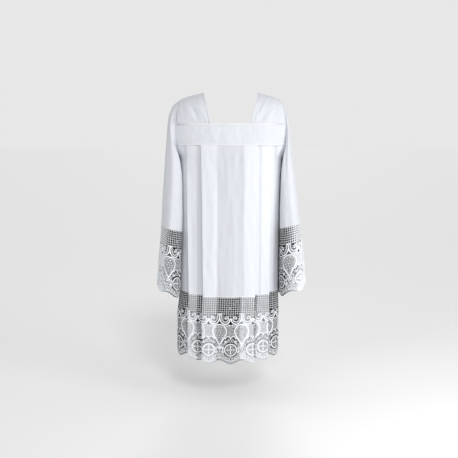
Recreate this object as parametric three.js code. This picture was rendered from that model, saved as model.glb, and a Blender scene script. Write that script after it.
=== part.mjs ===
// A surplice: a white cotton liturgical overgarment with a square neck, a yoke band,
// outward knife pleats, long sleeves and deep lace at the hem and the sleeve ends.
// Millimetres. +X is the right-hand side seen from the front, -Y the front, +Z up.
// The origin lies midway between the two shoulder tops at the neck, where the wearer holds it.

import * as THREE from 'three';

// ---------- driving sizes ----------
const CLOTH = 1.4;              // wall of the cloth and of the lace
const SEAM_GAP = 0.3;           // clear space between neighbouring pieces
const CUFF_GAP = 0.8;           // the same between a sleeve and its lace, whose columns differ
const NECK_HALF_TOP = 98;       // half width of the neck at the shoulder tops
const NECK_HALF_BAND = 78;      // half width of the neck at the yoke band
const NECK_DEPTH = 113;         // from the shoulder tops down to the yoke band
const BAND_HEIGHT = 74;
const TRIM_HEIGHT = 7;          // hemstitched strips along the band's two edges
const TRIM_WALL = 1.2;
const HEM_SEAM = -733;          // where the centre panel ends and the lace begins
const HEM_RISE = 2.5;           // each hidden layer hangs this much higher
const LACE_LENGTH = 238;
const HEM_PHASE = 10;           // the lace motif sits this far right of the front centre
const CUFF_REPEATS = 3;         // lace repeats in the front and in the back of a cuff
const BODY_POWER = 2.4;         // squareness of the body's rings
const LAYERS = 4;               // the side panels lie this many layers under the centre panel

const BAND_TOP = -NECK_DEPTH;
const BAND_BOTTOM = BAND_TOP - BAND_HEIGHT;

// The curve on which body and sleeve meet, seen from the side.
const ARMHOLE = { z: -130, halfHeight: 102, halfDepth: 62, power: 2.5, topX: 184, bottomX: 186.2, bulge: 12 };

// The body, ring by ring. halfDepth is that of the centre panel, halfWidth that of the side panels,
// layerGap is the step between two pleat layers and centreX the sideways sway.
const BODY_RINGS = [
  { z: -113, halfDepth: 112, halfWidth: 0, layerGap: 1.8, centreX: 0 },
  { z: -187, halfDepth: 118, halfWidth: 0, layerGap: 1.8, centreX: 0 },
  { z: -232, halfDepth: 121, halfWidth: 186.2, layerGap: 2.4, centreX: 0 },
  { z: -340, halfDepth: 123, halfWidth: 178, layerGap: 3.6, centreX: -1.5 },
  { z: -460, halfDepth: 125, halfWidth: 176, layerGap: 5, centreX: -3 },
  { z: -600, halfDepth: 128, halfWidth: 178, layerGap: 6.6, centreX: -4.5 },
  { z: -733, halfDepth: 131, halfWidth: 179.5, layerGap: 8, centreX: -6 },
  { z: -971, halfDepth: 136, halfWidth: 184, layerGap: 10, centreX: -8 },
];
const ARMPIT = ARMHOLE.z - ARMHOLE.halfHeight;

// The knife pleats of a quarter, each folded outwards at its edge and back in at its root.
// Distances from the front centre at the band and at the hem.
const PLEATS = [
  { edgeBand: 99, edgeHem: 90, rootBand: 46, rootHem: 44 },
  { edgeBand: 153, edgeHem: 142, rootBand: 105, rootHem: 105 },
];
const PLEAT_SHIFT = -7;         // all the pleats sit this far left of the front centre at the band

// Soft vertical troughs (negative) and ridges of the hanging cloth, deepest at the hem.
const DRAPES = [
  { across: -150, width: 20, height: 5 },
  { across: -112, width: 18, height: -4 },
  { across: -44, width: 24, height: -4 },
  { across: 6, width: 20, height: 3 },
  { across: 52, width: 22, height: -5 },
  { across: 118, width: 20, height: -4 },
  { across: 150, width: 18, height: 4 },
];

// Sleeve rings: the outer and the inner side of each ring, its half depth and how far it swings
// forward. bulge is how far its front and back stand out past its outer and inner side,
// and fold the height of the soft lengthwise folds there.
const SLEEVE_RINGS = [
  { outerX: 205, outerZ: -44, innerX: 189.4, innerZ: -240, halfDepth: 68, forward: 0, fold: 0.5, bulge: 12, power: 2.4 },
  { outerX: 220, outerZ: -72, innerX: 190.4, innerZ: -252, halfDepth: 72, forward: 0, fold: 1.5, bulge: 9, power: 2.3 },
  { outerX: 228, outerZ: -110, innerX: 191, innerZ: -268, halfDepth: 76, forward: 1, fold: 2.5, bulge: 5, power: 2.2 },
  { outerX: 234, outerZ: -180, innerX: 191.5, innerZ: -305, halfDepth: 82, forward: 3, fold: 4, bulge: 2, power: 2.2 },
  { outerX: 241, outerZ: -270, innerX: 191.5, innerZ: -360, halfDepth: 88, forward: 6, fold: 5, bulge: 0, power: 2.1 },
  { outerX: 249, outerZ: -375, innerX: 190.5, innerZ: -430, halfDepth: 96, forward: 9, fold: 6, bulge: 0, power: 2.1 },
  { outerX: 254, outerZ: -477, innerX: 190.5, innerZ: -503, halfDepth: 103, forward: 12, fold: 7, bulge: 0, power: 2.1 },
  { outerX: 262, outerZ: -575, innerX: 190.5, innerZ: -605, halfDepth: 108, forward: 14, fold: 7, bulge: 0, power: 2.1 },
  { outerX: 272, outerZ: -706, innerX: 190.5, innerZ: -742, halfDepth: 112, forward: 16, fold: 7, bulge: 0, power: 2.1 },
];
const CUFF_RING = 6;            // the row of SLEEVE_RINGS at which the cloth ends and the lace begins
const SLEEVE_FOLDS = 5;         // lengthwise folds round a sleeve
const SLEEVE_COLUMNS = 20;

// The lace: its rows of cells, down from the seam, and the gaps of one repeat that are cut through.
// across and down place a gap's middle, from the motif's axis; each has a mirrored twin.
const LACE_REPEAT = 79.4;
const LACE_ROWS = [0, 58, 100, 168, 187, 208];
const LACE_CELL = 0.35;         // the motif's cells reach this share of a repeat from its axis
const LACE_GAPS = [
  { row: 1, across: 17, down: 80, wide: 16, tall: 16 },     // inside the scrolls
  { row: 2, across: 10, down: 158, wide: 12, tall: 9 },     // under the crown of petals
  { row: 3, across: 8, down: 178, wide: 12, tall: 12 },     // upper quarters of the medallion
  { row: 4, across: 8, down: 197, wide: 12, tall: 12 },     // lower quarters of the medallion
];
const SCALLOP_DEPTH = 15;

const CLOTH_COLOUR = 0xeff1f5;
const TRIM_COLOUR = 0xf8f9fb;
const LACE_COLOUR = 0xf1f2f5;

// ---------- small helpers ----------
const mix = (a, b, t) => a + (b - a) * t;
const clamp = (value, low, high) => Math.min(high, Math.max(low, value));

// A column's value between two rows of a table whose key runs steadily up or down.
function tableAt(table, key, value, column) {
  const sense = Math.sign(table[1][key] - table[0][key]);
  let row = 0;
  while (row < table.length - 2 && sense * (value - table[row + 1][key]) > 0) row += 1;
  const low = table[row];
  const high = table[row + 1];
  const t = clamp((value - low[key]) / (high[key] - low[key]), 0, 1);
  return mix(low[column], high[column], t);
}

const bodyAt = (z, column) => tableAt(BODY_RINGS, 'z', z, column);

// The other coordinate of a superellipse with half axes a and b, at a given first coordinate.
function superellipse(first, a, b, power) {
  const share = Math.min(1, Math.abs(first) / a);
  return b * (1 - share ** power) ** (1 / power);
}

// ---------- armhole ----------
const armholeHalfDepth = (z) => superellipse(z - ARMHOLE.z, ARMHOLE.halfHeight, ARMHOLE.halfDepth, ARMHOLE.power);

function armholeX(z) {
  const height = (z - ARMHOLE.z) / ARMHOLE.halfHeight;
  return mix(ARMHOLE.bottomX, ARMHOLE.topX, (height + 1) / 2) + ARMHOLE.bulge * (1 - height * height);
}

// ---------- body rings ----------
// Half width of the ring at height z whose half depth is given; it passes through the armhole's curve.
function ringHalfWidth(z, halfDepth) {
  if (z <= ARMPIT) return bodyAt(z, 'halfWidth');
  const share = Math.min(0.98, armholeHalfDepth(z) / halfDepth);
  return armholeX(z) / (1 - share ** BODY_POWER) ** (1 / BODY_POWER);
}

function drape(x, z) {
  const growth = clamp((BAND_BOTTOM - z) / (BAND_BOTTOM - HEM_SEAM), 0, 1) ** 1.3;
  return DRAPES.reduce((sum, d) => sum + growth * d.height * Math.exp(-(((x - d.across) / d.width) ** 2)), 0);
}

// A stretch of the quarter's path, from startX to endX (null is the side seam) at one layer depth.
function stretches(z, side) {
  const t = clamp((BAND_BOTTOM - z) / (BAND_BOTTOM - HEM_SEAM), 0, 1);
  const shift = side * mix(PLEAT_SHIFT, 0, t);
  const list = [];
  let startX = 0;
  PLEATS.forEach((pleat, i) => {
    const edge = mix(pleat.edgeBand, pleat.edgeHem, t) + shift;
    const root = mix(pleat.rootBand, pleat.rootHem, t) + shift;
    list.push({ startX, endX: edge, layer: 2 * i });
    list.push({ startX: edge, endX: root, layer: 2 * i + 1 });
    startX = root;
  });
  list.push({ startX, endX: null, layer: LAYERS });
  return list;
}

// A point of one layer's ring, by angle from the front centre: 0 is the front, 1 the side seam.
function layerPoint(z, layer, share) {
  const gap = bodyAt(z, 'layerGap');
  const sideDepth = bodyAt(z, 'halfDepth') - LAYERS * gap;
  const grown = (LAYERS - layer) * gap;
  const a = ringHalfWidth(z, sideDepth) + grown;
  const b = sideDepth + grown;
  const angle = share * Math.PI / 2;
  return { x: a * Math.sin(angle) ** (2 / BODY_POWER), y: b * Math.cos(angle) ** (2 / BODY_POWER), a };
}

function shareOfX(z, layer, x) {
  const { a } = layerPoint(z, layer, 0);
  return Math.asin(Math.min(1, (x / a) ** (BODY_POWER / 2))) / (Math.PI / 2);
}

// The path of a quarter of the skirt: panels, pleat backs and the rounded folds between them.
// A station names a stretch and a share of it, or the rounded tip of the fold that follows it.
function stationPoint(z, side, station) {
  const stretch = stretches(z, side)[station.stretch];
  if (station.tip) {
    const outward = station.stretch % 2 === 0 ? 1 : -1;
    const before = layerPoint(z, stretch.layer, shareOfX(z, stretch.layer, stretch.endX));
    const after = layerPoint(z, stretch.layer + 1, shareOfX(z, stretch.layer + 1, stretch.endX));
    const round = 0.5 * bodyAt(z, 'layerGap');
    return { x: (before.x + after.x) / 2 + outward * round, y: (before.y + after.y) / 2 };
  }
  if (stretch.endX === null) {
    const start = shareOfX(z, stretch.layer, stretch.startX);
    return layerPoint(z, stretch.layer, mix(start, 1, station.share));
  }
  const x = mix(stretch.startX, stretch.endX, station.share);
  return layerPoint(z, stretch.layer, shareOfX(z, stretch.layer, x));
}

const stationLayer = (station) => station.stretch + (station.tip ? 0.5 : 0);

// Where a station of the skirt starts: under the band, or under the armhole near the side seam.
function skirtTop(side, station) {
  let z = BAND_BOTTOM - SEAM_GAP;
  for (let pass = 0; pass < 12; pass += 1) {
    const { y } = stationPoint(z, side, station);
    const lower = ARMHOLE.z - superellipse(y, ARMHOLE.halfDepth, ARMHOLE.halfHeight, ARMHOLE.power);
    z = y < ARMHOLE.halfDepth ? Math.min(BAND_BOTTOM - SEAM_GAP, mix(z, lower, 0.6)) : BAND_BOTTOM - SEAM_GAP;
  }
  return z;
}

// A point of the skirt or the hem lace in space. side is +1 or -1 and face -1 in front, +1 behind.
function skirtPoint(z, side, face, station) {
  const flat = stationPoint(z, side, station);
  const x = bodyAt(z, 'centreX') + side * flat.x;
  const halfDepth = bodyAt(z, 'halfDepth');
  const frontal = clamp(flat.y / halfDepth, 0, 1);
  const y = flat.y + drape(face * x, z) * frontal;
  return new THREE.Vector3(x, face * Math.max(y, SEAM_GAP / 2), z);
}

// ---------- a wall of cloth through a grid of points ----------
function gridNormal(rows, r, c, closed) {
  const count = rows[0].length;
  const at = (i, j) => rows[i][closed ? (j + count) % count : j];
  const along = new THREE.Vector3();
  const down = new THREE.Vector3();
  const here = at(r, c);
  if (closed || c > 0) along.add(here.clone().sub(at(r, c - 1)).normalize());
  if (closed || c < count - 1) along.add(at(r, c + 1).clone().sub(here).normalize());
  if (r > 0) down.add(here.clone().sub(rows[r - 1][c]).normalize());
  if (r < rows.length - 1) down.add(rows[r + 1][c].clone().sub(here).normalize());
  return along.cross(down).normalize();
}

// Triangles between an outer and an inner loop round one middle, both given in the same turning sense.
function ringTriangles(outer, inner) {
  const faces = [];
  const total = outer.length + inner.length;
  let i = 0;
  let j = 0;
  for (let step = 0; step < total; step += 1) {
    const nextOuter = outer[(i + 1) % outer.length].turn + (i + 1 >= outer.length ? 1 : 0);
    const nextInner = inner[(j + 1) % inner.length].turn + (j + 1 >= inner.length ? 1 : 0);
    const a = outer[i % outer.length].index;
    const b = inner[j % inner.length].index;
    if (j >= inner.length || (i < outer.length && nextOuter <= nextInner)) {
      faces.push([a, outer[(i + 1) % outer.length].index, b]);
      i += 1;
    } else {
      faces.push([a, inner[(j + 1) % inner.length].index, b]);
      j += 1;
    }
  }
  return faces;
}

// rows is a grid of points, closed joins its last column to its first, and holes maps "r,c" of a
// cell to a four-cornered gap in shares of that cell.
function clothWall(rows, { closed = false, wall = CLOTH, holes = new Map() } = {}) {
  const count = rows[0].length;
  const positions = [];
  const faces = [];
  const add = (point) => positions.push(point) - 1;
  const skins = [0.5, -0.5].map((offset) => rows.map((row, r) => row.map((point, c) => (
    add(point.clone().addScaledVector(gridNormal(rows, r, c, closed), offset * wall))
  ))));
  const push = (skin, a, b, c) => faces.push(skin === 0 ? [a, b, c] : [a, c, b]);
  const cells = closed ? count : count - 1;
  for (let r = 0; r < rows.length - 1; r += 1) {
    for (let c = 0; c < cells; c += 1) {
      const right = (c + 1) % count;
      const hole = holes.get(`${r},${c}`);
      const rims = skins.map((skin, which) => {
        const corners = [skin[r][c], skin[r][right], skin[r + 1][right], skin[r + 1][c]];
        if (!hole) {
          push(which, corners[0], corners[2], corners[1]);
          push(which, corners[0], corners[3], corners[2]);
          return null;
        }
        const [p0, p1, p2, p3] = corners.map((index) => positions[index]);
        const rim = hole.map(({ u, v }) => add(
          p0.clone().lerp(p1, u).lerp(p3.clone().lerp(p2, u), v),
        ));
        const middle = { u: (hole[0].u + hole[2].u) / 2, v: (hole[0].v + hole[2].v) / 2 };
        const turn = (u, v) => ((Math.atan2(v - middle.v, u - middle.u) / (2 * Math.PI)) + 1) % 1;
        const sorted = (list) => list.sort((first, second) => first.turn - second.turn);
        const outer = sorted([[0, 0], [1, 0], [1, 1], [0, 1]].map(([u, v], k) => (
          { index: corners[k], turn: turn(u, v) })));
        const inner = sorted(hole.map(({ u, v }, k) => ({ index: rim[k], turn: turn(u, v) })));
        ringTriangles(outer, inner).forEach(([a, b, d]) => push(which, a, d, b));
        return inner.map(({ index }) => index);
      });
      if (hole) {
        rims[0].forEach((index, k) => {
          const next = (k + 1) % rims[0].length;
          faces.push([rims[0][next], index, rims[1][k]], [rims[0][next], rims[1][k], rims[1][next]]);
        });
      }
    }
  }
  const close = (a, b, c, d) => faces.push([a, b, c], [a, c, d]);
  const last = rows.length - 1;
  for (let c = 0; c < cells; c += 1) {
    const right = (c + 1) % count;
    close(skins[0][0][c], skins[0][0][right], skins[1][0][right], skins[1][0][c]);
    close(skins[0][last][right], skins[0][last][c], skins[1][last][c], skins[1][last][right]);
  }
  if (!closed) {
    const end = count - 1;
    for (let r = 0; r < last; r += 1) {
      close(skins[0][r + 1][0], skins[0][r][0], skins[1][r][0], skins[1][r + 1][0]);
      close(skins[0][r][end], skins[0][r + 1][end], skins[1][r + 1][end], skins[1][r][end]);
    }
  }
  return { positions, faces };
}

// Turns the wall into a mesh whose faces point out, whichever way its grid was laid.
function meshOf(name, { positions, faces }, colour, roughness) {
  const volume = faces.reduce((sum, [a, b, c]) => (
    sum + positions[a].dot(positions[b].clone().cross(positions[c]))), 0);
  const geometry = new THREE.BufferGeometry();
  geometry.setAttribute('position', new THREE.Float32BufferAttribute(
    positions.flatMap((point) => [point.x, point.y, point.z]), 3));
  geometry.setIndex(faces.flatMap(([a, b, c]) => (volume > 0 ? [a, b, c] : [a, c, b])));
  geometry.computeVertexNormals();
  const material = new THREE.MeshStandardMaterial({ color: colour, roughness, metalness: 0 });
  const mesh = new THREE.Mesh(geometry, material);
  mesh.name = name;
  return mesh;
}

// ---------- yoke band and its hemstitched strips ----------
const BAND_SHARES = [0, 0.14, 0.28, 0.42, 0.56, 0.7, 0.84, 1];

// A point of the band: share runs from the front centre to the armhole.
function bandPoint(z, side, face, share, lift) {
  const halfDepth = bodyAt(z, 'halfDepth');
  const halfWidth = ringHalfWidth(z, halfDepth);
  const x = share * (armholeX(z) - 0.2);
  const y = superellipse(x, halfWidth, halfDepth, BODY_POWER);
  const slope = (x / halfWidth) ** (BODY_POWER - 1) / halfWidth;
  const rise = (y / halfDepth) ** (BODY_POWER - 1) / halfDepth;
  const length = Math.hypot(slope, rise);
  return new THREE.Vector3(side * (x + lift * slope / length), face * (y + lift * rise / length), z);
}

function bandRows(heights, face, lift) {
  const shares = [...BAND_SHARES.slice(1).reverse().map((share) => -share), ...BAND_SHARES];
  return heights.map((z) => shares.map((share) => bandPoint(z, Math.sign(share) || 1, face, Math.abs(share), lift)));
}

function yokeBand(face) {
  return clothWall(bandRows([BAND_TOP - SEAM_GAP / 2, (BAND_TOP + BAND_BOTTOM) / 2, BAND_BOTTOM], face, 0));
}

function yokeTrim(face, top) {
  const lift = CLOTH / 2 + SEAM_GAP + TRIM_WALL / 2;
  return clothWall(bandRows([top, top - TRIM_HEIGHT], face, lift), { wall: TRIM_WALL });
}

// ---------- shoulder pieces ----------
const GATHER_COUNT = 3;         // soft gathers over the band beside each neck corner
const GATHER_WIDTH = 13;
const GATHER_HEIGHT = 1.6;
const SHOULDER_ROWS = 12;
const SHOULDER_SHARES = [0, 0.055, 0.11, 0.165, 0.22, 0.275, 0.33, 0.45, 0.6, 0.75, 0.88, 1];

// share runs from the neck to the armhole, turn from -1 at the front band over 0 to 1 at the back.
function shoulderPoint(side, share, turn) {
  const base = BAND_TOP + SEAM_GAP / 2;
  const baseX = mix(NECK_HALF_BAND, armholeX(base) - 0.2, share);
  const halfDepth = bodyAt(base, 'halfDepth');
  const baseY = superellipse(baseX, ringHalfWidth(base, halfDepth), halfDepth, BODY_POWER);
  const topZ = mix(0, ARMHOLE.z + ARMHOLE.halfHeight, share ** 1.25);
  const topX = mix(NECK_HALF_TOP, ARMHOLE.topX - 0.2, share);
  const floor = mix(base, ARMHOLE.z, share);
  const power = mix(2, ARMHOLE.power, share);
  const fullTurn = Math.acos(((base - floor) / (topZ - floor)) ** (power / 2));
  const angle = Math.abs(turn) * fullTurn;
  const depth = baseY / Math.sin(fullTurn) ** (2 / power);
  const y = depth * Math.sin(angle) ** (2 / power);
  const z = floor + (topZ - floor) * Math.max(0, Math.cos(angle)) ** (2 / power);
  const fall = (topZ - z) / (topZ - base);
  const edgeX = armholeX(z) - 0.2;
  const x = mix(mix(topX, baseX, fall), edgeX, share ** 3);
  const gather = Math.max(0, 1 - Math.abs(baseX - NECK_HALF_BAND) / (GATHER_COUNT * GATHER_WIDTH));
  const wave = Math.sin(Math.PI * 2 * (baseX - NECK_HALF_BAND) / GATHER_WIDTH);
  const lift = GATHER_HEIGHT * wave * gather * clamp((fall - 0.35) / 0.65, 0, 1);
  return new THREE.Vector3(side * x, Math.sign(turn) * (y + lift), z);
}

function shoulder(side) {
  const rows = [];
  for (let r = 0; r <= SHOULDER_ROWS; r += 1) {
    const turn = 2 * r / SHOULDER_ROWS - 1;
    rows.push(SHOULDER_SHARES.map((share) => shoulderPoint(side, share, turn)));
  }
  return clothWall(rows);
}

// ---------- skirt ----------
const SKIRT_STEPS = 6;
const PANEL_STEPS = [4, 1, 3, 1, 6];     // columns in each stretch of the quarter's path

function quarterStations() {
  const stations = [];
  PANEL_STEPS.forEach((steps, stretch) => {
    for (let i = 0; i <= steps; i += 1) stations.push({ stretch, share: i / steps });
    if (stretch < PANEL_STEPS.length - 1) stations.push({ stretch, tip: true });
  });
  return stations;
}

function skirt(face) {
  const quarter = quarterStations();
  const columns = [
    ...quarter.slice(1).reverse().map((station) => ({ side: -1, station })),
    ...quarter.map((station) => ({ side: 1, station })),
  ];
  const tops = columns.map(({ side, station }) => skirtTop(side, station));
  const rows = [];
  for (let r = 0; r <= SKIRT_STEPS; r += 1) {
    rows.push(columns.map(({ side, station }, c) => {
      const bottom = HEM_SEAM + SEAM_GAP + HEM_RISE * stationLayer(station);
      return skirtPoint(mix(tops[c], bottom, r / SKIRT_STEPS), side, face, station);
    }));
  }
  return clothWall(rows);
}

// ---------- lace ----------
// The gaps of one lace strip. columns holds each grid column's place along the strip, in repeats.
function laceHoles(places, lengthOf) {
  const holes = new Map();
  for (let c = 0; c < places.length - 1; c += 1) {
    const axis = Math.round((places[c] + places[c + 1]) / 2);
    const left = places[c] - axis;
    const right = places[c + 1] - axis;
    const side = left >= -0.001 ? 1 : -1;
    const inner = side > 0 ? left : -right;
    const outer = side > 0 ? right : -left;
    LACE_GAPS.forEach((gap) => {
      const middle = gap.across / LACE_REPEAT;
      const half = gap.wide / 2 / LACE_REPEAT;
      if (middle - half < inner + 0.01 || middle + half > outer - 0.01) return;
      const top = LACE_ROWS[gap.row];
      const bottom = gap.row + 1 < LACE_ROWS.length ? LACE_ROWS[gap.row + 1] : lengthOf(c);
      const u = (side * middle - left) / (right - left);
      const du = half / (right - left);
      const v = (gap.down - top) / (bottom - top);
      const dv = gap.tall / 2 / (bottom - top);
      holes.set(`${gap.row},${c}`, [
        { u: u - du, v }, { u, v: v + dv }, { u: u + du, v }, { u, v: v - dv },
      ]);
    });
  }
  return holes;
}

// Down to the scalloped edge: longest at a motif's axis, shortest halfway between two.
const laceEnd = (place) => LACE_LENGTH - SCALLOP_DEPTH * Math.sin(Math.PI * place) ** 2;

// Cell edges along a strip, in repeats: the motif axes and the two sides of each motif.
function lacePlaces(from, to) {
  const places = [];
  for (let axis = Math.floor(from); axis <= Math.ceil(to); axis += 1) {
    places.push(axis - LACE_CELL, axis, axis + LACE_CELL);
  }
  return places.filter((place) => place > from + 0.02 && place < to - 0.02);
}

// Lengths along the quarter's path at the hem seam, at each of its stations.
function pathLengths(side) {
  const stations = quarterStations();
  let length = 0;
  let before = null;
  return stations.map((station) => {
    const point = stationPoint(HEM_SEAM, side, station);
    if (before) length += Math.hypot(point.x - before.x, point.y - before.y);
    before = point;
    return { station, length };
  });
}

// The station at a given length along the quarter's path, or null inside a rounded fold.
function stationAt(lengths, length) {
  const i = lengths.findIndex((mark, k) => k > 0 && mark.length >= length);
  const low = lengths[i - 1];
  const high = lengths[i];
  if (!high || low.station.tip || high.station.tip) return null;
  if (low.station.stretch !== high.station.stretch) return null;
  const t = (length - low.length) / (high.length - low.length);
  return { stretch: low.station.stretch, share: mix(low.station.share, high.station.share, t) };
}

// Columns of one quarter of the hem lace: every fold's points, the side seam and the cell edges.
function laceColumns(side) {
  const lengths = pathLengths(side);
  const phase = side * HEM_PHASE / LACE_REPEAT;
  const end = lengths[lengths.length - 1].length / LACE_REPEAT - phase;
  const isFold = ({ station }) => station.tip || station.share === 0 || station.share === 1;
  const folds = lengths.slice(1).filter(isFold)
    .map(({ station, length }) => ({ station, place: length / LACE_REPEAT - phase }));
  const nearFold = (place) => folds.some((fold) => Math.abs(fold.place - place) < 0.04);
  const cells = lacePlaces(-phase, end)
    .filter((place) => !nearFold(place))
    .map((place) => ({ place, station: stationAt(lengths, (place + phase) * LACE_REPEAT) }))
    .filter(({ station }) => station !== null);
  return [...folds, ...cells]
    .sort((first, second) => first.place - second.place)
    .map(({ station, place }) => ({ side, station, place: side * place }));
}

function hemLace(face) {
  const columns = [...laceColumns(-1).reverse(), ...laceColumns(1)];
  const places = columns.map(({ place }) => place);
  const rows = [...LACE_ROWS, null].map((down) => columns.map(({ side, station, place }) => {
    const drop = down === null ? laceEnd(place) : down;
    return skirtPoint(HEM_SEAM + HEM_RISE * stationLayer(station) - drop, side, face, station);
  }));
  return clothWall(rows, { holes: laceHoles(places, (c) => laceEnd((places[c] + places[c + 1]) / 2)) });
}

// ---------- sleeves ----------
// A point of a sleeve. turn 0 is the outer side, 0.25 the front, 0.5 the inner side, 0.75 the back.
function sleevePoint(side, ring, turn) {
  const angle = 2 * Math.PI * turn;
  const cos = Math.cos(angle);
  const sin = Math.sin(angle);
  const round = (value, power) => Math.sign(value) * Math.abs(value) ** (2 / power);
  const outward = (1 + round(cos, ring.power)) / 2;
  const fold = ring.fold * Math.cos(2 * Math.PI * SLEEVE_FOLDS * turn + side) * (1 - 0.35 * Math.abs(cos));
  const x = mix(ring.innerX, ring.outerX, outward) + ring.bulge * (1 - (2 * outward - 1) ** 2);
  const z = mix(ring.innerZ, ring.outerZ, outward);
  const y = -(ring.halfDepth + fold) * round(sin, ring.power) - ring.forward;
  return new THREE.Vector3(side * x, y, z);
}

// The sleeve's first ring lies just outside the armhole's curve.
function sleeveHead(side, turn) {
  const angle = 2 * Math.PI * turn;
  const power = 2 / ARMHOLE.power;
  const z = ARMHOLE.z + Math.sign(Math.cos(angle)) * ARMHOLE.halfHeight * Math.abs(Math.cos(angle)) ** power;
  const y = -Math.sign(Math.sin(angle)) * ARMHOLE.halfDepth * Math.abs(Math.sin(angle)) ** power;
  const clear = mix(2.2, 1.2, (z - ARMPIT) / (2 * ARMHOLE.halfHeight));
  return new THREE.Vector3(side * (armholeX(z) + clear), y, z);
}

function sleeve(side) {
  const turns = Array.from({ length: SLEEVE_COLUMNS }, (_, i) => i / SLEEVE_COLUMNS);
  const rings = SLEEVE_RINGS.slice(0, CUFF_RING + 1);
  const rows = [
    turns.map((turn) => sleeveHead(side, turn)),
    ...rings.map((ring) => turns.map((turn) => sleevePoint(side, ring, turn))),
  ];
  return clothWall(rows, { closed: true });
}

// A ring of the cuff lace, as deep below the seam as given.
function cuffRing(down) {
  const rings = SLEEVE_RINGS.slice(CUFF_RING).map((ring) => ({ ...ring, down: SLEEVE_RINGS[CUFF_RING].innerZ - ring.innerZ }));
  const ring = {};
  Object.keys(rings[0]).forEach((column) => {
    ring[column] = tableAt(rings, 'down', down, column);
  });
  return ring;
}

// The front (half 0) or back (half 1) of the lace at the end of a sleeve.
function cuffLace(side, half) {
  const places = [
    -0.5,
    ...lacePlaces(-0.5, CUFF_REPEATS - 0.5),
    CUFF_REPEATS - 0.5,
  ];
  const rows = [...LACE_ROWS, null].map((down) => places.map((place, c) => {
    const drop = (down === null ? laceEnd(place) : down) + CUFF_GAP;
    const ring = cuffRing(drop);
    const share = (place + 0.5) / CUFF_REPEATS;
    const inset = c === 0 ? 0.0007 : (c === places.length - 1 ? -0.0007 : 0);
    return sleevePoint(side, ring, half / 2 + share / 2 + inset);
  }));
  return clothWall(rows, { holes: laceHoles(places, (c) => laceEnd((places[c] + places[c + 1]) / 2)) });
}

// ---------- the garment ----------
const surplice = new THREE.Group();
const cloth = (name, wall) => surplice.add(meshOf(name, wall, CLOTH_COLOUR, 0.85));
const trim = (name, wall) => surplice.add(meshOf(name, wall, TRIM_COLOUR, 0.8));
const lace = (name, wall) => surplice.add(meshOf(name, wall, LACE_COLOUR, 0.8));

[{ name: 'front', face: -1 }, { name: 'back', face: 1 }].forEach(({ name, face }) => {
  cloth(`yoke_${name}`, yokeBand(face));
  trim(`yoke_trim_top_${name}`, yokeTrim(face, BAND_TOP - SEAM_GAP));
  trim(`yoke_trim_bottom_${name}`, yokeTrim(face, BAND_BOTTOM + TRIM_HEIGHT));
  cloth(`skirt_${name}`, skirt(face));
  lace(`hem_lace_${name}`, hemLace(face));
});

[{ name: 'left', side: -1 }, { name: 'right', side: 1 }].forEach(({ name, side }) => {
  cloth(`shoulder_${name}`, shoulder(side));
  cloth(`sleeve_${name}`, sleeve(side));
  lace(`cuff_lace_${name}_front`, cuffLace(side, 0));
  lace(`cuff_lace_${name}_back`, cuffLace(side, 1));
});

export default surplice;
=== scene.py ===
"""A white cotton surplice: thin cloth shells and lace of real threads, in place of the frame's solids.

Sizes below are in millimetres; meshes are written in metres. +X is the right-hand side seen from the
front, -Y the front, +Z up. The origin lies midway between the shoulder tops at the neck.
"""

import math

import bpy
import numpy as np
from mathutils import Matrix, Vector


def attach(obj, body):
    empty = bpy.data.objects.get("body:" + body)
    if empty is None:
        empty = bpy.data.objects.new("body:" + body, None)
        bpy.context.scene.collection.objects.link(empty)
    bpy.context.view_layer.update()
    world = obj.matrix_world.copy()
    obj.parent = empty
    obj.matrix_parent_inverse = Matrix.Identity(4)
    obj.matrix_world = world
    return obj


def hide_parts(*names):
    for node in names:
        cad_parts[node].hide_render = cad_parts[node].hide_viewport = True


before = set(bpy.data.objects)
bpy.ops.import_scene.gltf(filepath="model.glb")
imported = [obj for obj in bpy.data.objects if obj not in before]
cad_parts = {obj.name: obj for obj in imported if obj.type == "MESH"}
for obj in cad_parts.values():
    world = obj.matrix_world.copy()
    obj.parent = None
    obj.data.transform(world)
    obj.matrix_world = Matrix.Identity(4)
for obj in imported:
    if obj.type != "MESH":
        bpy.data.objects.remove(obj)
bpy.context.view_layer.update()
MM = 0.001

# ---------- sizes that the cloth shells share with the solids ----------
SHELL = 0.5                     # thickness of a cloth shell
SEAM_GAP = 0.3
NECK_HALF_TOP = 98              # half the neck opening, on top of the shoulders
NECK_HALF_BAND, FRONT_NECK_HALF = 78, 69        # and at the band, behind and in front
BAND_TOP, BAND_BOTTOM = -113, -187
TRIM_HEIGHT = 7
HEM_SEAM = -733
HEM_RISE = 2.5                  # the hem's seam is this much higher on each deeper layer
LACE_LENGTH = 238
LACE_REPEAT = 79.4
HEM_PHASE = 10                  # the lace motif sits this far right of the front centre
CUFF_REPEATS = 3                # lace repeats in the front or the back of a cuff
CUFF_PHASE = {-1: 39.7, 1: 52}  # the cuffs' motif sits this far along their lace, by side
CUFF_GAP = 0.8                  # between the sleeve's cloth and its lace
BAND_CLEAR = 0.2                # between the armhole and the band or the shoulder
POWER = 2.4                     # squareness of the body's rings
STEEPEST = 0.98                 # how near the armhole's edge comes to the ring's own front
LAYERS = 4                      # the side panels lie this many layers under the centre panel
PLEAT_SHIFT = -7                # the pleats start this much off the left and right at the band

ARM_Z, ARM_HALF_HEIGHT, ARM_HALF_DEPTH = -130, 102, 62      # the armhole, seen from the side
ARM_POWER = 2.5                 # squareness of the armhole
ARM_TOP_X, ARM_BOTTOM_X, ARM_BULGE = 184, 186.2, 12
ARMPIT = ARM_Z - ARM_HALF_HEIGHT

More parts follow.
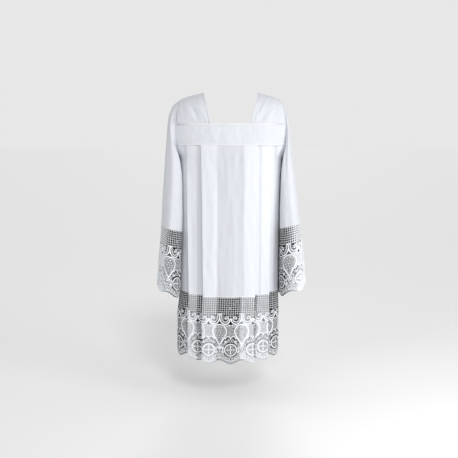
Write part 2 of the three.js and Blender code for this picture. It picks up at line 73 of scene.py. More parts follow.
BODY_COLUMNS = ("z", "half_depth", "half_width", "layer_gap", "centre_x")
BODY_RINGS = np.array([
    (-971, 136, 189, 10, -11),
    (-810, 133, 188, 8.6, -10.5),
    (-733, 131, 183.5, 8, -7),
    (-600, 128, 182.5, 6.6, -5),
    (-460, 125, 183, 5, -3),
    (-340, 123, 184.5, 3.6, -1.5),
    (-232, 121, 186.2, 2.4, 0),
    (-187, 118, 0, 1.8, 0),
    (-113, 112, 0, 1.8, 0),
])

# Pleats of a quarter: fold edge and root, at the band and at the hem, from the front centre.
PLEATS = {
    -1: ({"edge": (99, 90), "root": (46, 44)}, {"edge": (153, 142), "root": (105, 118)}),
    1: ({"edge": (99, 90), "root": (46, 44)}, {"edge": (153, 142), "root": (105, 105)}),
}

DRAPES = (  # across, width, height of the soft vertical troughs and ridges of the skirt
    (-150, 20, 5), (-112, 18, -4), (-44, 24, -4), (6, 20, 3), (52, 22, -5), (118, 20, -4), (150, 18, 4),
)

SLEEVE_COLUMNS = (
    "outer_x", "outer_z", "inner_x", "inner_z", "half_depth", "forward", "fold", "bulge", "power",
)
SLEEVE_RINGS = np.array([
    (205, -44, 189.4, -240, 68, 0, 0.5, 12, 2.4),
    (220, -72, 190.4, -252, 72, 0, 1.5, 9, 2.3),
    (228, -110, 191, -268, 76, 1, 2.5, 5, 2.2),
    (234, -180, 191.5, -305, 82, 3, 4, 2, 2.2),
    (241, -270, 191.5, -360, 88, 6, 5, 0, 2.1),
    (249, -375, 190.5, -430, 96, 9, 6, 0, 2.1),
    (254, -477, 190.5, -503, 103, 12, 7, 0, 2.1),
    (262, -575, 190.5, -605, 108, 14, 7, 0, 2.1),
    (272, -706, 190.5, -742, 112, 16, 7, 0, 2.1),
])
# By ring: how far the right sleeve's outer side lies out from these, and how much higher it hangs.
RIGHT_OUTSET = (-15, -17, -17, -15, -10, -6, 0, 3, 6)
RIGHT_RAISE = (0, 0, 0, 1, 4, 8, 12, 9, 6)
# Where each ring's inner side lies, just clear of the body's side.
INNER_X = {
    -1: (188, 188, 188, 188, 188, 188, 188.4, 189.5, 191.5),
    1: (188, 188, 188, 187, 185, 183, 181.5, 180, 179),
}
BACK_TUCK = 14                  # how far a sleeve's inner side slips behind the body
FRONT_TUCK = {-1: 28, 1: 16}    # how far it lies over the body's rounded side in front
TUCK_SHARES = (0.15, 0.4, 0.8, 1, 1, 0.9, 0.7, 0.5, 0.4)        # and each ring's share of that
BACK_TUCK_Y, FRONT_TUCK_Y = (5, 60), (32, 40)       # how far from the middle each starts, and over what
CUFF_RING = 7                   # the ring, counted from the armhole's own, where the sleeve lace starts
SLEEVE_FOLDS, FOLD_SHARE = 5, 0.55
SLEEVE_AXIS = (215, -8)         # x and y that a sleeve's creases stand out from


# ---------- small helpers ----------
def mix(a, b, t):
    return a + (b - a) * t


def body_at(z, column):
    return np.interp(z, BODY_RINGS[:, 0], BODY_RINGS[:, BODY_COLUMNS.index(column)])


def superellipse(first, a, b, power):
    share = np.minimum(1, np.abs(first) / a)
    return b * (1 - share ** power) ** (1 / power)


def signed_power(value, power):
    return np.sign(value) * np.abs(value) ** power


def hermite(t, step, start, start_slope, end, end_slope):
    """The cubic between two points with given slopes, at shares t of the step between them."""
    return ((2 * t ** 3 - 3 * t ** 2 + 1) * start + (t ** 3 - 2 * t ** 2 + t) * step * start_slope
            + (3 * t ** 2 - 2 * t ** 3) * end + (t ** 3 - t ** 2) * step * end_slope)


# ---------- armhole and body rings ----------
def armhole_x(z):
    height = (z - ARM_Z) / ARM_HALF_HEIGHT
    return mix(ARM_BOTTOM_X, ARM_TOP_X, (height + 1) / 2) + ARM_BULGE * (1 - height * height)


def ring_half_width(z, half_depth):
    half_arm = superellipse(z - ARM_Z, ARM_HALF_HEIGHT, ARM_HALF_DEPTH, ARM_POWER)
    share = np.minimum(STEEPEST, half_arm / half_depth)
    above = armhole_x(z) / (1 - share ** POWER) ** (1 / POWER)
    return np.where(z <= ARMPIT, body_at(z, "half_width"), above)


def layer_axes(z, layer):
    gap = body_at(z, "layer_gap")
    side_depth = body_at(z, "half_depth") - LAYERS * gap
    grown = (LAYERS - layer) * gap
    return ring_half_width(z, side_depth) + grown, side_depth + grown


def layer_point(z, layer, share):
    a, b = layer_axes(z, layer)
    angle = share * math.pi / 2
    return a * np.sin(angle) ** (2 / POWER), b * np.cos(angle) ** (2 / POWER)


def share_of_x(z, layer, x):
    a, _ = layer_axes(z, layer)
    return np.arcsin(np.minimum(1, (x / a) ** (POWER / 2))) / (math.pi / 2)


def drape(x, z):
    growth = np.clip((BAND_BOTTOM - z) / (BAND_BOTTOM - HEM_SEAM), 0, 1) ** 1.3
    total = sum(height * np.exp(-(((x - across) / width) ** 2)) for across, width, height in DRAPES)
    return growth * total


CREASE_SPAN = 400               # the width over which the faint creases below are counted
CREASE_COUNTS = (7, 9, 10, 12, 14, 15, 17, 19, 22, 26)
CREASE_LEAN = 160               # a crease leans by at most one of its widths over this height
SKIRT_CREASED, SLEEVE_CREASED, BAND_CREASED, SHOULDER_CREASED = 4.0, 3.0, 4.0, 5.0      # their heights


def faint_creases(u, v, seed, height):
    """Small random folds that come and go along v: waves, whole numbers of them over u from 0 to 1."""
    rng = np.random.default_rng(seed)
    turn = 2 * math.pi
    total = np.zeros_like(u)
    for count in CREASE_COUNTS:
        phase, lean, start = rng.uniform(0, turn), rng.uniform(-1, 1), rng.uniform(0, turn)
        along = rng.uniform(70, 200)
        swell = 0.5 + 0.5 * np.cos(turn * v / along + start)
        total += height / count * swell * np.cos(turn * (count * u + lean * v / CREASE_LEAN) + phase)
    return total


class QuarterPath:
    """The skirt's cloth in plan, from the front centre to the side seam, as a table over height."""

    STEP = 4                    # spacing of its points along the cloth
    STRETCHES = (92, 50, 104, 42, 132)          # rough lengths between the folds, for that spacing
    TIP_ANGLES = np.radians((-64, -32, 0, 32, 64))

    def __init__(self, side):
        self.side = side
        self.heights = np.linspace(-980, BAND_BOTTOM, 80)
        columns, layers = [], []
        for stretch, length in enumerate(self.STRETCHES):
            for share in np.linspace(0, 1, max(2, round(length / self.STEP)) + 1):
                columns.append([self.point(z, stretch, share) for z in self.heights])
                layers.append(stretch)
            if stretch < LAYERS:
                for angle in self.TIP_ANGLES:
                    columns.append([self.tip(z, stretch, angle) for z in self.heights])
                    layers.append(stretch + 0.5 + 0.5 * math.sin(angle))
        self.table = np.array(columns)          # column, height, (x, y)
        self.layers = np.array(layers)
        at_hem = self.table[:, np.abs(self.heights - HEM_SEAM).argmin()]
        gaps = np.hypot(*np.diff(at_hem, axis=0).T)
        self.marks = np.concatenate([[0], np.cumsum(gaps)])
        self.length = self.marks[-1]

    def ends(self, z, stretch):
        t = np.clip((BAND_BOTTOM - z) / (BAND_BOTTOM - HEM_SEAM), 0, 1)
        shift = self.side * mix(PLEAT_SHIFT, 0, t)
        turns = [0]
        for pleat in PLEATS[self.side]:
            turns += [mix(*pleat["edge"], t) + shift, mix(*pleat["root"], t) + shift]
        return turns[stretch], turns[stretch + 1] if stretch < LAYERS else None

    def point(self, z, stretch, share):
        start, end = self.ends(z, stretch)
        if end is None:
            return layer_point(z, stretch, mix(share_of_x(z, stretch, start), 1, share))
        return layer_point(z, stretch, share_of_x(z, stretch, mix(start, end, share)))

    def tip(self, z, stretch, angle):
        _, end = self.ends(z, stretch)
        before = np.array(layer_point(z, stretch, share_of_x(z, stretch, end)))
        after = np.array(layer_point(z, stretch + 1, share_of_x(z, stretch + 1, end)))
        outward = 1 if stretch % 2 == 0 else -1
        round_off = np.array([outward * 0.5 * body_at(z, "layer_gap") * math.cos(angle), 0])
        return (before + after) / 2 + (after - before) / 2 * math.sin(angle) + round_off

    def layer(self, s):
        return np.interp(s, self.marks, self.layers)

    def __call__(self, s, z):
        """x and y at cloth lengths s and heights z, as arrays."""
        c = np.interp(s, self.marks, np.arange(len(self.marks)))
        r = np.interp(z, self.heights, np.arange(len(self.heights)))
        c0 = np.minimum(c.astype(int), len(self.marks) - 2)
        r0 = np.minimum(r.astype(int), len(self.heights) - 2)
        u, v = (c - c0)[:, None], (r - r0)[:, None]
        t = self.table
        upper = t[c0, r0] * (1 - u) + t[c0 + 1, r0] * u
        lower = t[c0, r0 + 1] * (1 - u) + t[c0 + 1, r0 + 1] * u
        return upper * (1 - v) + lower * v


PATHS = {side: QuarterPath(side) for side in (-1, 1)}
HALF_HEM = {side: PATHS[side].length for side in PATHS}     # from the centre to a side seam, at the hem


# Soft creases of the hanging panels, as lines from (x, z) to (x, z), with width and height.
SKIRT_CREASES = (
    (-78, -196, -30, -400, 13, -0.9), (-52, -196, -20, -350, 9, 0.7), (-34, -205, -16, -300, 8, -0.6),
    (40, -196, 6, -380, 13, -0.8), (22, -205, 2, -330, 8, 0.6), (70, -210, 36, -430, 12, 1.0),
    (10, -240, -22, -560, 10, -0.8), (-24, -200, 14, -520, 9, 0.7), (30, -350, 22, -700, 9, -0.9),
    (-12, -380, -18, -700, 16, -2.0), (-60, -330, -66, -720, 12, 1.5), (38, -420, 44, -720, 15, 1.8),
    (66, -300, 76, -640, 10, -1.2), (-88, -260, -84, -700, 7, -1.0), (-36, -520, -40, -726, 9, 1.4),
    (-128, -230, -124, -700, 8, 1.5), (124, -230, 116, -700, 8, 1.5), (-144, -300, -138, -720, 7, -1.3),
    (140, -260, 134, -650, 8, -1.4), (-176, -260, -160, -640, 9, 2.2), (172, -260, 156, -640, 9, 2.0),
)
BACK_CREASES = tuple(
    (6 - 0.9 * x0, z0 - 14, 6 - 0.9 * x1, z1 - 14, 1.1 * width, height)
    for x0, z0, x1, z1, width, height in SKIRT_CREASES
)
SIDE_FULLNESS, FULL_AT, FULL_WIDTH = 20, 173, 24        # the cloth stands fuller beside the sleeves
BAND_FADE, ARM_FADE = 30, 80    # heights over which creases and fullness grow, under band and armhole


def cloth_plan(s, z):
    """x without its side, and y, of the cloth at lengths s to both sides of the centre."""
    return np.where((s >= 0)[:, None], PATHS[1](np.abs(s), z), PATHS[-1](np.abs(s), z))


def crease_lift(x, z, creases):
    """Height of the creases at each (x, z): soft on both sides of each line and fading at its ends."""
    total = np.zeros_like(x)
    for x0, z0, x1, z1, width, height in creases:
        along, length = np.array([x1 - x0, z1 - z0]), math.hypot(x1 - x0, z1 - z0)
        t = ((x - x0) * along[0] + (z - z0) * along[1]) / length ** 2
        across = ((x - x0) * along[1] - (z - z0) * along[0]) / length
        ends = np.clip(np.minimum(t, 1 - t) * 5 + 0.15, 0, 1)
        total += height * np.exp(-((across / width) ** 2)) * ends ** 2 * (3 - 2 * ends)
    return total


def skirt_points(s, z, face):
    """Points of the skirt or its lace. s is the cloth length from the centre, negative on the left."""
    flat = cloth_plan(s, z)
    side = np.where(s >= 0, 1, -1)
    x = body_at(z, "centre_x") + side * flat[:, 0]
    frontal = np.clip(flat[:, 1] / body_at(z, "half_depth"), 0, 1)
    creases = SKIRT_CREASES if face < 0 else BACK_CREASES
    under_band = np.clip((BAND_BOTTOM - z) / BAND_FADE, 0, 1)
    under_arm = np.clip((ARMPIT - z) / ARM_FADE, 0, 1)
    lift = drape(face * x, z) + crease_lift(x, z, creases)
    lift += faint_creases(x / CREASE_SPAN, z, 5 + face, SKIRT_CREASED) * under_band
    lift += SIDE_FULLNESS * np.exp(-(((flat[:, 0] - FULL_AT) / FULL_WIDTH) ** 2)) * under_arm
    y = flat[:, 1] + lift * frontal
    return np.stack([x, face * np.maximum(y, SEAM_GAP / 2), z], 1)


def skirt_layer(s):
    return np.where(s >= 0, PATHS[1].layer(np.abs(s)), PATHS[-1].layer(np.abs(s)))


def hem_strip(face):
    """The hem lace's surface: (s along the strip, h down from the seam) to points."""
    def place(s, h):
        return skirt_points(s, HEM_SEAM + HEM_RISE * skirt_layer(s) - h, face)
    return place


def hem_turned(s):
    """Where a pleat folds the hem back under itself."""
    return np.round(skirt_layer(s)).astype(int) % 2 == 1


# Where only one layer hangs, from the centre to the left and to the right.
SINGLE_STRETCHES = {-1: ((0, 44), (206, 233), (339, 434)), 1: ((0, 44), (206, 220), (365, 460))}


def hem_single(s):
    """1 where a single layer of the lace hangs and 0 where several lie close together."""
    single = np.zeros_like(s)
    for side, stretches in SINGLE_STRETCHES.items():
        for low, high in stretches:
            single = np.maximum(single, (side * s >= low) & (side * s <= high))
    return single


# ---------- sleeves ----------
HEAD_CLEAR = 0.4                # between the armhole and the sleeve's head


def sleeve_rows(side, turns):
    """The armhole's ring and the sleeve's rings, at the given turns: rows of points."""
    def tucked(depth, start, over):
        return np.clip((depth - start) / over, 0, 1)

    angle = 2 * math.pi * turns
    cos, sin = np.cos(angle), np.sin(angle)
    z = ARM_Z + ARM_HALF_HEIGHT * signed_power(cos, 2 / ARM_POWER)
    x = armhole_x(z) + HEAD_CLEAR
    rows = [np.stack([side * x, -ARM_HALF_DEPTH * signed_power(sin, 2 / ARM_POWER), z], 1)]
    for ring, outset, raised, inner_x, tuck in zip(
            SLEEVE_RINGS, RIGHT_OUTSET, RIGHT_RAISE, INNER_X[side], TUCK_SHARES):
        r = dict(zip(SLEEVE_COLUMNS, ring))
        r["outer_x"] += outset * (side > 0)
        r["inner_x"] = inner_x
        outward = (1 + signed_power(cos, 2 / r["power"])) / 2
        fold = FOLD_SHARE * r["fold"] * np.cos(2 * math.pi * SLEEVE_FOLDS * turns + side)
        fold = fold * (1 - 0.35 * np.abs(cos))
        x = mix(r["inner_x"], r["outer_x"], outward) + r["bulge"] * (1 - (2 * outward - 1) ** 2)
        y = -(r["half_depth"] + fold) * signed_power(sin, 2 / r["power"]) - r["forward"]
        x = x - BACK_TUCK * (1 - outward) * tucked(y, *BACK_TUCK_Y)
        x = x - FRONT_TUCK[side] * tuck * (1 - outward) * tucked(-y, *FRONT_TUCK_Y)
        z = mix(r["inner_z"], r["outer_z"], outward) + raised * (side > 0)
        rows.append(np.stack([side * x, y, z], 1))
    return np.array(rows)


# Slanting creases of a sleeve: turn and ring at both ends, width in turns, and height.
SLEEVE_CREASES = (
    (0.06, 0.3, 0.14, 3.6, 0.020, -2.2), (0.15, 0.3, 0.20, 4.5, 0.022, 1.8),
    (0.24, 0.6, 0.27, 5.0, 0.020, -2.0), (0.33, 1.0, 0.31, 6.0, 0.022, 1.8),
    (0.10, 3.0, 0.17, 6.8, 0.018, 1.8), (0.40, 2.0, 0.38, 6.6, 0.020, -1.8),
    (0.94, 0.3, 0.87, 3.6, 0.020, -2.0), (0.84, 0.4, 0.80, 4.6, 0.022, 1.8),
    (0.72, 0.8, 0.74, 5.5, 0.020, -1.8), (0.64, 1.2, 0.67, 6.3, 0.022, 1.6),
    (0.88, 3.2, 0.84, 6.8, 0.018, 1.6), (0.56, 2.0, 0.60, 6.6, 0.020, -1.4),
    (0.99, 2.4, 0.02, 6.4, 0.020, -1.3),
)
HEAD_GATHER, HEAD_GATHERS = 1.8, 30     # the small gathers where the sleeve is set into the shoulder
TURN_TABLE = np.linspace(0, 1, 241)
SLEEVE_TABLES = {side: sleeve_rows(side, TURN_TABLE) for side in (-1, 1)}
RING_KEYS = np.array([0, 20, 50, 90, 160, 250, 355, 457, 557, 690.0])       # way down to each ring


def sleeve_points(side, v, turn):
    """Points of a sleeve: v counts its rings from the armhole, turn runs round it from the outer side."""
    rows = SLEEVE_TABLES[side]
    key = np.interp(v, np.arange(len(RING_KEYS)), RING_KEYS)
    slopes = np.gradient(rows, RING_KEYS, axis=0)
    c = (turn % 1) * (len(TURN_TABLE) - 1)
    c0 = np.minimum(c.astype(int), len(TURN_TABLE) - 2)
    u = (c - c0)[:, None]
    i = np.clip(np.searchsorted(RING_KEYS, key) - 1, 0, len(RING_KEYS) - 2)
    step = (RING_KEYS[i + 1] - RING_KEYS[i])[:, None]
    t = (key - RING_KEYS[i])[:, None] / step

    def at(table, row):
        return table[row, c0] * (1 - u) + table[row, c0 + 1] * u

    points = hermite(t, step, at(rows, i), at(slopes, i), at(rows, i + 1), at(slopes, i + 1))
    lift = np.zeros_like(v)
    for turn0, v0, turn1, v1, width, height in SLEEVE_CREASES:
        t_line = (v - v0) / (v1 - v0)
        if turn1 < turn0 - 0.5:
            turn1 += 1
        centre = mix(turn0, turn1, t_line)
        across = (turn - centre + 0.5) % 1 - 0.5
        ends = np.clip(np.minimum(t_line, 1 - t_line) * 4, 0, 1)
        lift += height * np.exp(-((across / width) ** 2)) * ends
    lift += faint_creases(turn, key, 20 + side, SLEEVE_CREASED) * np.clip(v, 0, 1)
    crown = np.clip(1 - np.abs((turn + 0.5) % 1 - 0.5) / 0.27, 0, 1)
    near_head = np.minimum(1, v * 2) * np.exp(-v / 1.6)
    lift += HEAD_GATHER * np.cos(2 * math.pi * HEAD_GATHERS * turn) * crown * near_head
    outward = points - (side * SLEEVE_AXIS[0], SLEEVE_AXIS[1], 0)
    outward[:, 2] = 0
    outward /= np.maximum(1e-6, np.linalg.norm(outward, axis=1))[:, None]
    return points + outward * lift[:, None]


CUFF_STEPS = (-102, 0, 102, 239)        # way down from the cuff's seam to the rings from CUFF_RING - 1 on
PALE_TURN, PALE_SOFT = 0.14, 0.06       # how far the lighter painted shade on a cuff's outer side reaches, and its soft edge


def cuff_turn(side, half, s):
    """The turn at length s along half a cuff's lace, which lies evenly round the sleeve."""
    turns = np.linspace(half / 2, half / 2 + 0.5, 121)
    ring = sleeve_rows(side, turns)[CUFF_RING + 1]
    arc = np.concatenate([[0], np.cumsum(np.linalg.norm(np.diff(ring, axis=0), axis=1))])
    return np.interp((s / LACE_REPEAT + 0.5) / CUFF_REPEATS, arc / arc[-1], turns)


def cuff_strip(side, half):
    """The sleeve lace's surface: (s along the strip, h down from the seam) to points."""
    def place(s, h):
        v = np.interp(h + CUFF_GAP, CUFF_STEPS, CUFF_RING + np.arange(-1, 3))
        return sleeve_points(side, v, cuff_turn(side, half, s))
    return place


def cuff_pale(side, half):
    """1 on the outer side of a cuff, where the lace's painted shade is lighter."""
    def pale(s):
        off = np.abs((cuff_turn(side, half, s) + 0.5) % 1 - 0.5)
        return np.clip((PALE_TURN - off) / PALE_SOFT, 0, 1)
    return pale


# ---------- yoke and shoulders ----------
def band_strip(face, lift=0.0):
    """The yoke band's surface: (share from -1 to 1 across, z) to points."""
    def place(share, z):
        half_depth = body_at(z, "half_depth")
        half_width = ring_half_width(z, half_depth)
        x = share * (armhole_x(z) - BAND_CLEAR)
        y = superellipse(x, half_width, half_depth, POWER)
        slope = signed_power(x / half_width, POWER - 1) / half_width
        rise = (y / half_depth) ** (POWER - 1) / half_depth
        length = np.hypot(slope, rise)
        sag = lift + band_ripple(x, z)
        return np.stack([x + sag * slope / length, face * (y + sag * rise / length), z], 1)
    return place


def band_ripple(x, z):
    """Faint pulls across the pressed band."""
    middle = np.sin(math.pi * np.clip((BAND_TOP - z) / (BAND_TOP - BAND_BOTTOM), 0, 1))
    pulls = 0.9 * np.sin(x / 31 + z / 40) + 0.5 * np.sin(x / 13 - z / 22 + 1)
    return middle * (pulls + faint_creases(x / CREASE_SPAN, 2 * z, 11, BAND_CREASED))


GATHER_WIDTH, GATHER_COUNT, GATHER_HEIGHT = 13, 3, 1.6
UNDER_TAPE = 1.2                # how far a shoulder's edge slips behind the band's tape
BACK_NECK_EASE = 6              # the back neck is this much wider a side
# Soft pulls of a shoulder: share and fall at both ends, width and height.
SHOULDER_PULLS = (
    (0.04, 1.0, 0.34, 0.30, 0.055, 1.3), (0.18, 1.0, 0.52, 0.35, 0.06, -1.2),
    (0.34, 1.0, 0.66, 0.40, 0.06, 1.0), (0.60, 1.0, 0.80, 0.25, 0.06, -1.0),
    (0.02, 0.6, 0.20, 0.10, 0.05, -0.9), (0.86, 0.95, 0.92, 0.2, 0.04, 1.2),
)


def shoulder_points(side, share, turn):
    base = np.full_like(share, BAND_TOP + SEAM_GAP / 2)
    neck = np.where(turn > 0, NECK_HALF_BAND, FRONT_NECK_HALF)
    base_x = mix(neck, armhole_x(base) - BAND_CLEAR, share)
    half_depth = body_at(base, "half_depth")
    base_y = superellipse(base_x, ring_half_width(base, half_depth), half_depth, POWER)
    top_z = mix(0, ARM_Z + ARM_HALF_HEIGHT, share ** 1.25)
    top_x = mix(NECK_HALF_TOP, ARM_TOP_X - BAND_CLEAR, share)
    floor = mix(base, ARM_Z, share)
    power = mix(2, ARM_POWER, share)
    full_turn = np.arccos(((base - floor) / (top_z - floor)) ** (power / 2))
    angle = np.abs(turn) * full_turn
    depth = base_y / np.sin(full_turn) ** (2 / power)
    y = depth * np.sin(angle) ** (2 / power)
    z = floor + (top_z - floor) * np.maximum(0, np.cos(angle)) ** (2 / power)
    fall = np.clip((top_z - z) / (top_z - base), 0, 1)
    x = mix(mix(top_x, base_x, fall), armhole_x(z) - BAND_CLEAR, share ** 3)
    x = x + BACK_NECK_EASE * (turn > 0) * (1 - share) ** 2 * np.minimum(1, fall * 4)
    gather = np.maximum(0, 1 - np.abs(base_x - neck) / (GATHER_COUNT * GATHER_WIDTH))
    wave = np.sin(math.pi * 2 * (base_x - neck) / GATHER_WIDTH)
    fade = np.clip((fall - 0.35) / 0.65, 0, 1)
    lift = GATHER_HEIGHT * wave * gather * fade
    clear = np.clip((1 - fall) * 7, 0, 1)       # nothing stands proud over the band's tape
    lift = lift + faint_creases(share / 3 + fall / 12, 90 * fall, 30 + side, SHOULDER_CREASED) * clear
    lift = lift - UNDER_TAPE * (1 - clear)
    for share0, fall0, share1, fall1, width, height in SHOULDER_PULLS:
        t = (fall - fall0) / (fall1 - fall0)
        ends = np.clip(np.minimum(t, 1 - t) * 4 + 0.3, 0, 1)
        lift = lift + height * np.exp(-(((share - mix(share0, share1, t)) / width) ** 2)) * ends * clear
    return np.stack([side * x, np.sign(turn) * (y + lift), z], 1)


# ---------- meshes ----------
def link_mesh(name, vertices, faces, material):
    """A new object in the scene, from vertices in millimetres and faces as lists of their indices."""
    mesh = bpy.data.meshes.new(name)
    mesh.from_pydata((np.asarray(vertices) * MM).tolist(), [], faces)
    mesh.materials.append(material)
    obj = bpy.data.objects.new(name, mesh)
    bpy.context.scene.collection.objects.link(obj)
    return obj


def set_tone_and_painted_light(obj, domain, values):
    """Gives each point or face the brightness its material multiplies its colour with: a tone, with painted
    light and shade.
    """
    layer = obj.data.attributes.new("tone_and_painted_light", "FLOAT", domain)
    layer.data.foreach_set("value", values.astype(np.float32))


def grid_normals(grid, closed):
    if closed:
        along = np.roll(grid, -1, 1) - np.roll(grid, 1, 1)
    else:
        along = np.gradient(grid, axis=1)
    normal = np.cross(along, np.gradient(grid, axis=0))
    return normal / np.maximum(1e-9, np.linalg.norm(normal, axis=2))[:, :, None]


def cloth_shell(name, grid, material, tone_and_painted_light, closed=False):
    """A closed thin shell through a (rows, columns, 3) grid; tone_and_painted_light is its painted
    brightness, or each point's.
    """
    normal = grid_normals(grid, closed)
    skins = [grid + normal * SHELL / 2, grid - normal * SHELL / 2]
    vertices = np.concatenate([skin.reshape(-1, 3) for skin in skins])
    count = len(vertices) // 2
    index = np.arange(count).reshape(grid.shape[:2])
    right = np.roll(index, -1, 1) if closed else index[:, 1:]
    left = index if closed else index[:, :-1]
    a, b, c, d = left[:-1], right[:-1], right[1:], left[1:]
    skin = np.stack([a, d, c, b], -1).reshape(-1, 4)
    faces = [skin, np.stack([a, b, c, d], -1).reshape(-1, 4) + count]
    rims = [(left[0], right[0]), (right[-1], left[-1])]
    if not closed:
        rims += [(index[1:, 0], index[:-1, 0]), (index[:-1, -1], index[1:, -1])]
    for first, second in rims:
        faces.append(np.stack([first, second, second + count, first + count], -1).reshape(-1, 4))
    faces = np.concatenate(faces)
    corners = vertices[skin]
    facing = np.cross(corners[:, 1] - corners[:, 0], corners[:, 2] - corners[:, 0])
    outward = ((corners.mean(1) - vertices.mean(0)) * facing)[:, :2].sum()
    if outward < 0:
        faces = faces[:, ::-1]
    obj = link_mesh(name, vertices, faces.tolist(), material)
    obj.data.validate()
    obj.data.polygons.foreach_set("use_smooth", np.full(len(obj.data.polygons), True))
    obj.data.set_sharp_from_angle(angle=math.radians(60))
    set_tone_and_painted_light(obj, "POINT", np.tile(np.broadcast_to(tone_and_painted_light, grid.shape[:2]).reshape(-1), 2))
    return obj


# How bright the faces of a lace cord are painted: its outer face, its flanks between the cords, and its
# inner face. The flanks and inner faces carry painted shade, standing for the shade behind the lace.
OUTER, FLANK, INNER = 1.0, 0.045, 0.04
# Where cords of several layers lie close together: times the crest's width, and the flanks' lighter painted
# shade.
STACKED, STACKED_NET = (1.45, 0.5), (2.1, 0.12)
STACKED_RIM = 0.75              # and times the flanks' width
LOW_RIM, LOW_FROM, LOW_OVER = 1.8, 148, 30      # how much wider flanks get in the lowest part, and where
PALE_SHADE = 0.75               # lighter painted shade of flanks and inner faces, on a cuff's outer side
SPREAD = {-1: 1.0, 1: 2.0}      # how much wider all flanks are, in front and behind
CREST_SHARE = 0.8               # how much of a cord's width is its flat crest
BUD_SIDES = 8
BUD_INNER, BUD_RISE, BUD_TOP, BUD_BELOW = 0.6, 0.42, 0.5, -0.4      # its inner ring and heights, as shares


def bud_faces():
    """A bud's faces: its rim, its dome and its flat inner side."""
    k = np.arange(BUD_SIDES)
    nxt = np.roll(k, -1)
    top, below = np.full(BUD_SIDES, 2 * BUD_SIDES), np.full(BUD_SIDES, 2 * BUD_SIDES + 1)
    return np.concatenate([
        np.stack([k, nxt, nxt + BUD_SIDES, k + BUD_SIDES], 1),
        np.stack([k + BUD_SIDES, nxt + BUD_SIDES, top, top], 1),
        np.stack([nxt, k, below, below], 1),
    ])


BUD_FACES = bud_faces()
BUD_SHADES = np.repeat([OUTER, OUTER, INNER], BUD_SIDES)


def always(value):
    """The same value along the whole strip."""
    return lambda s: np.full_like(np.asarray(s, float), value)


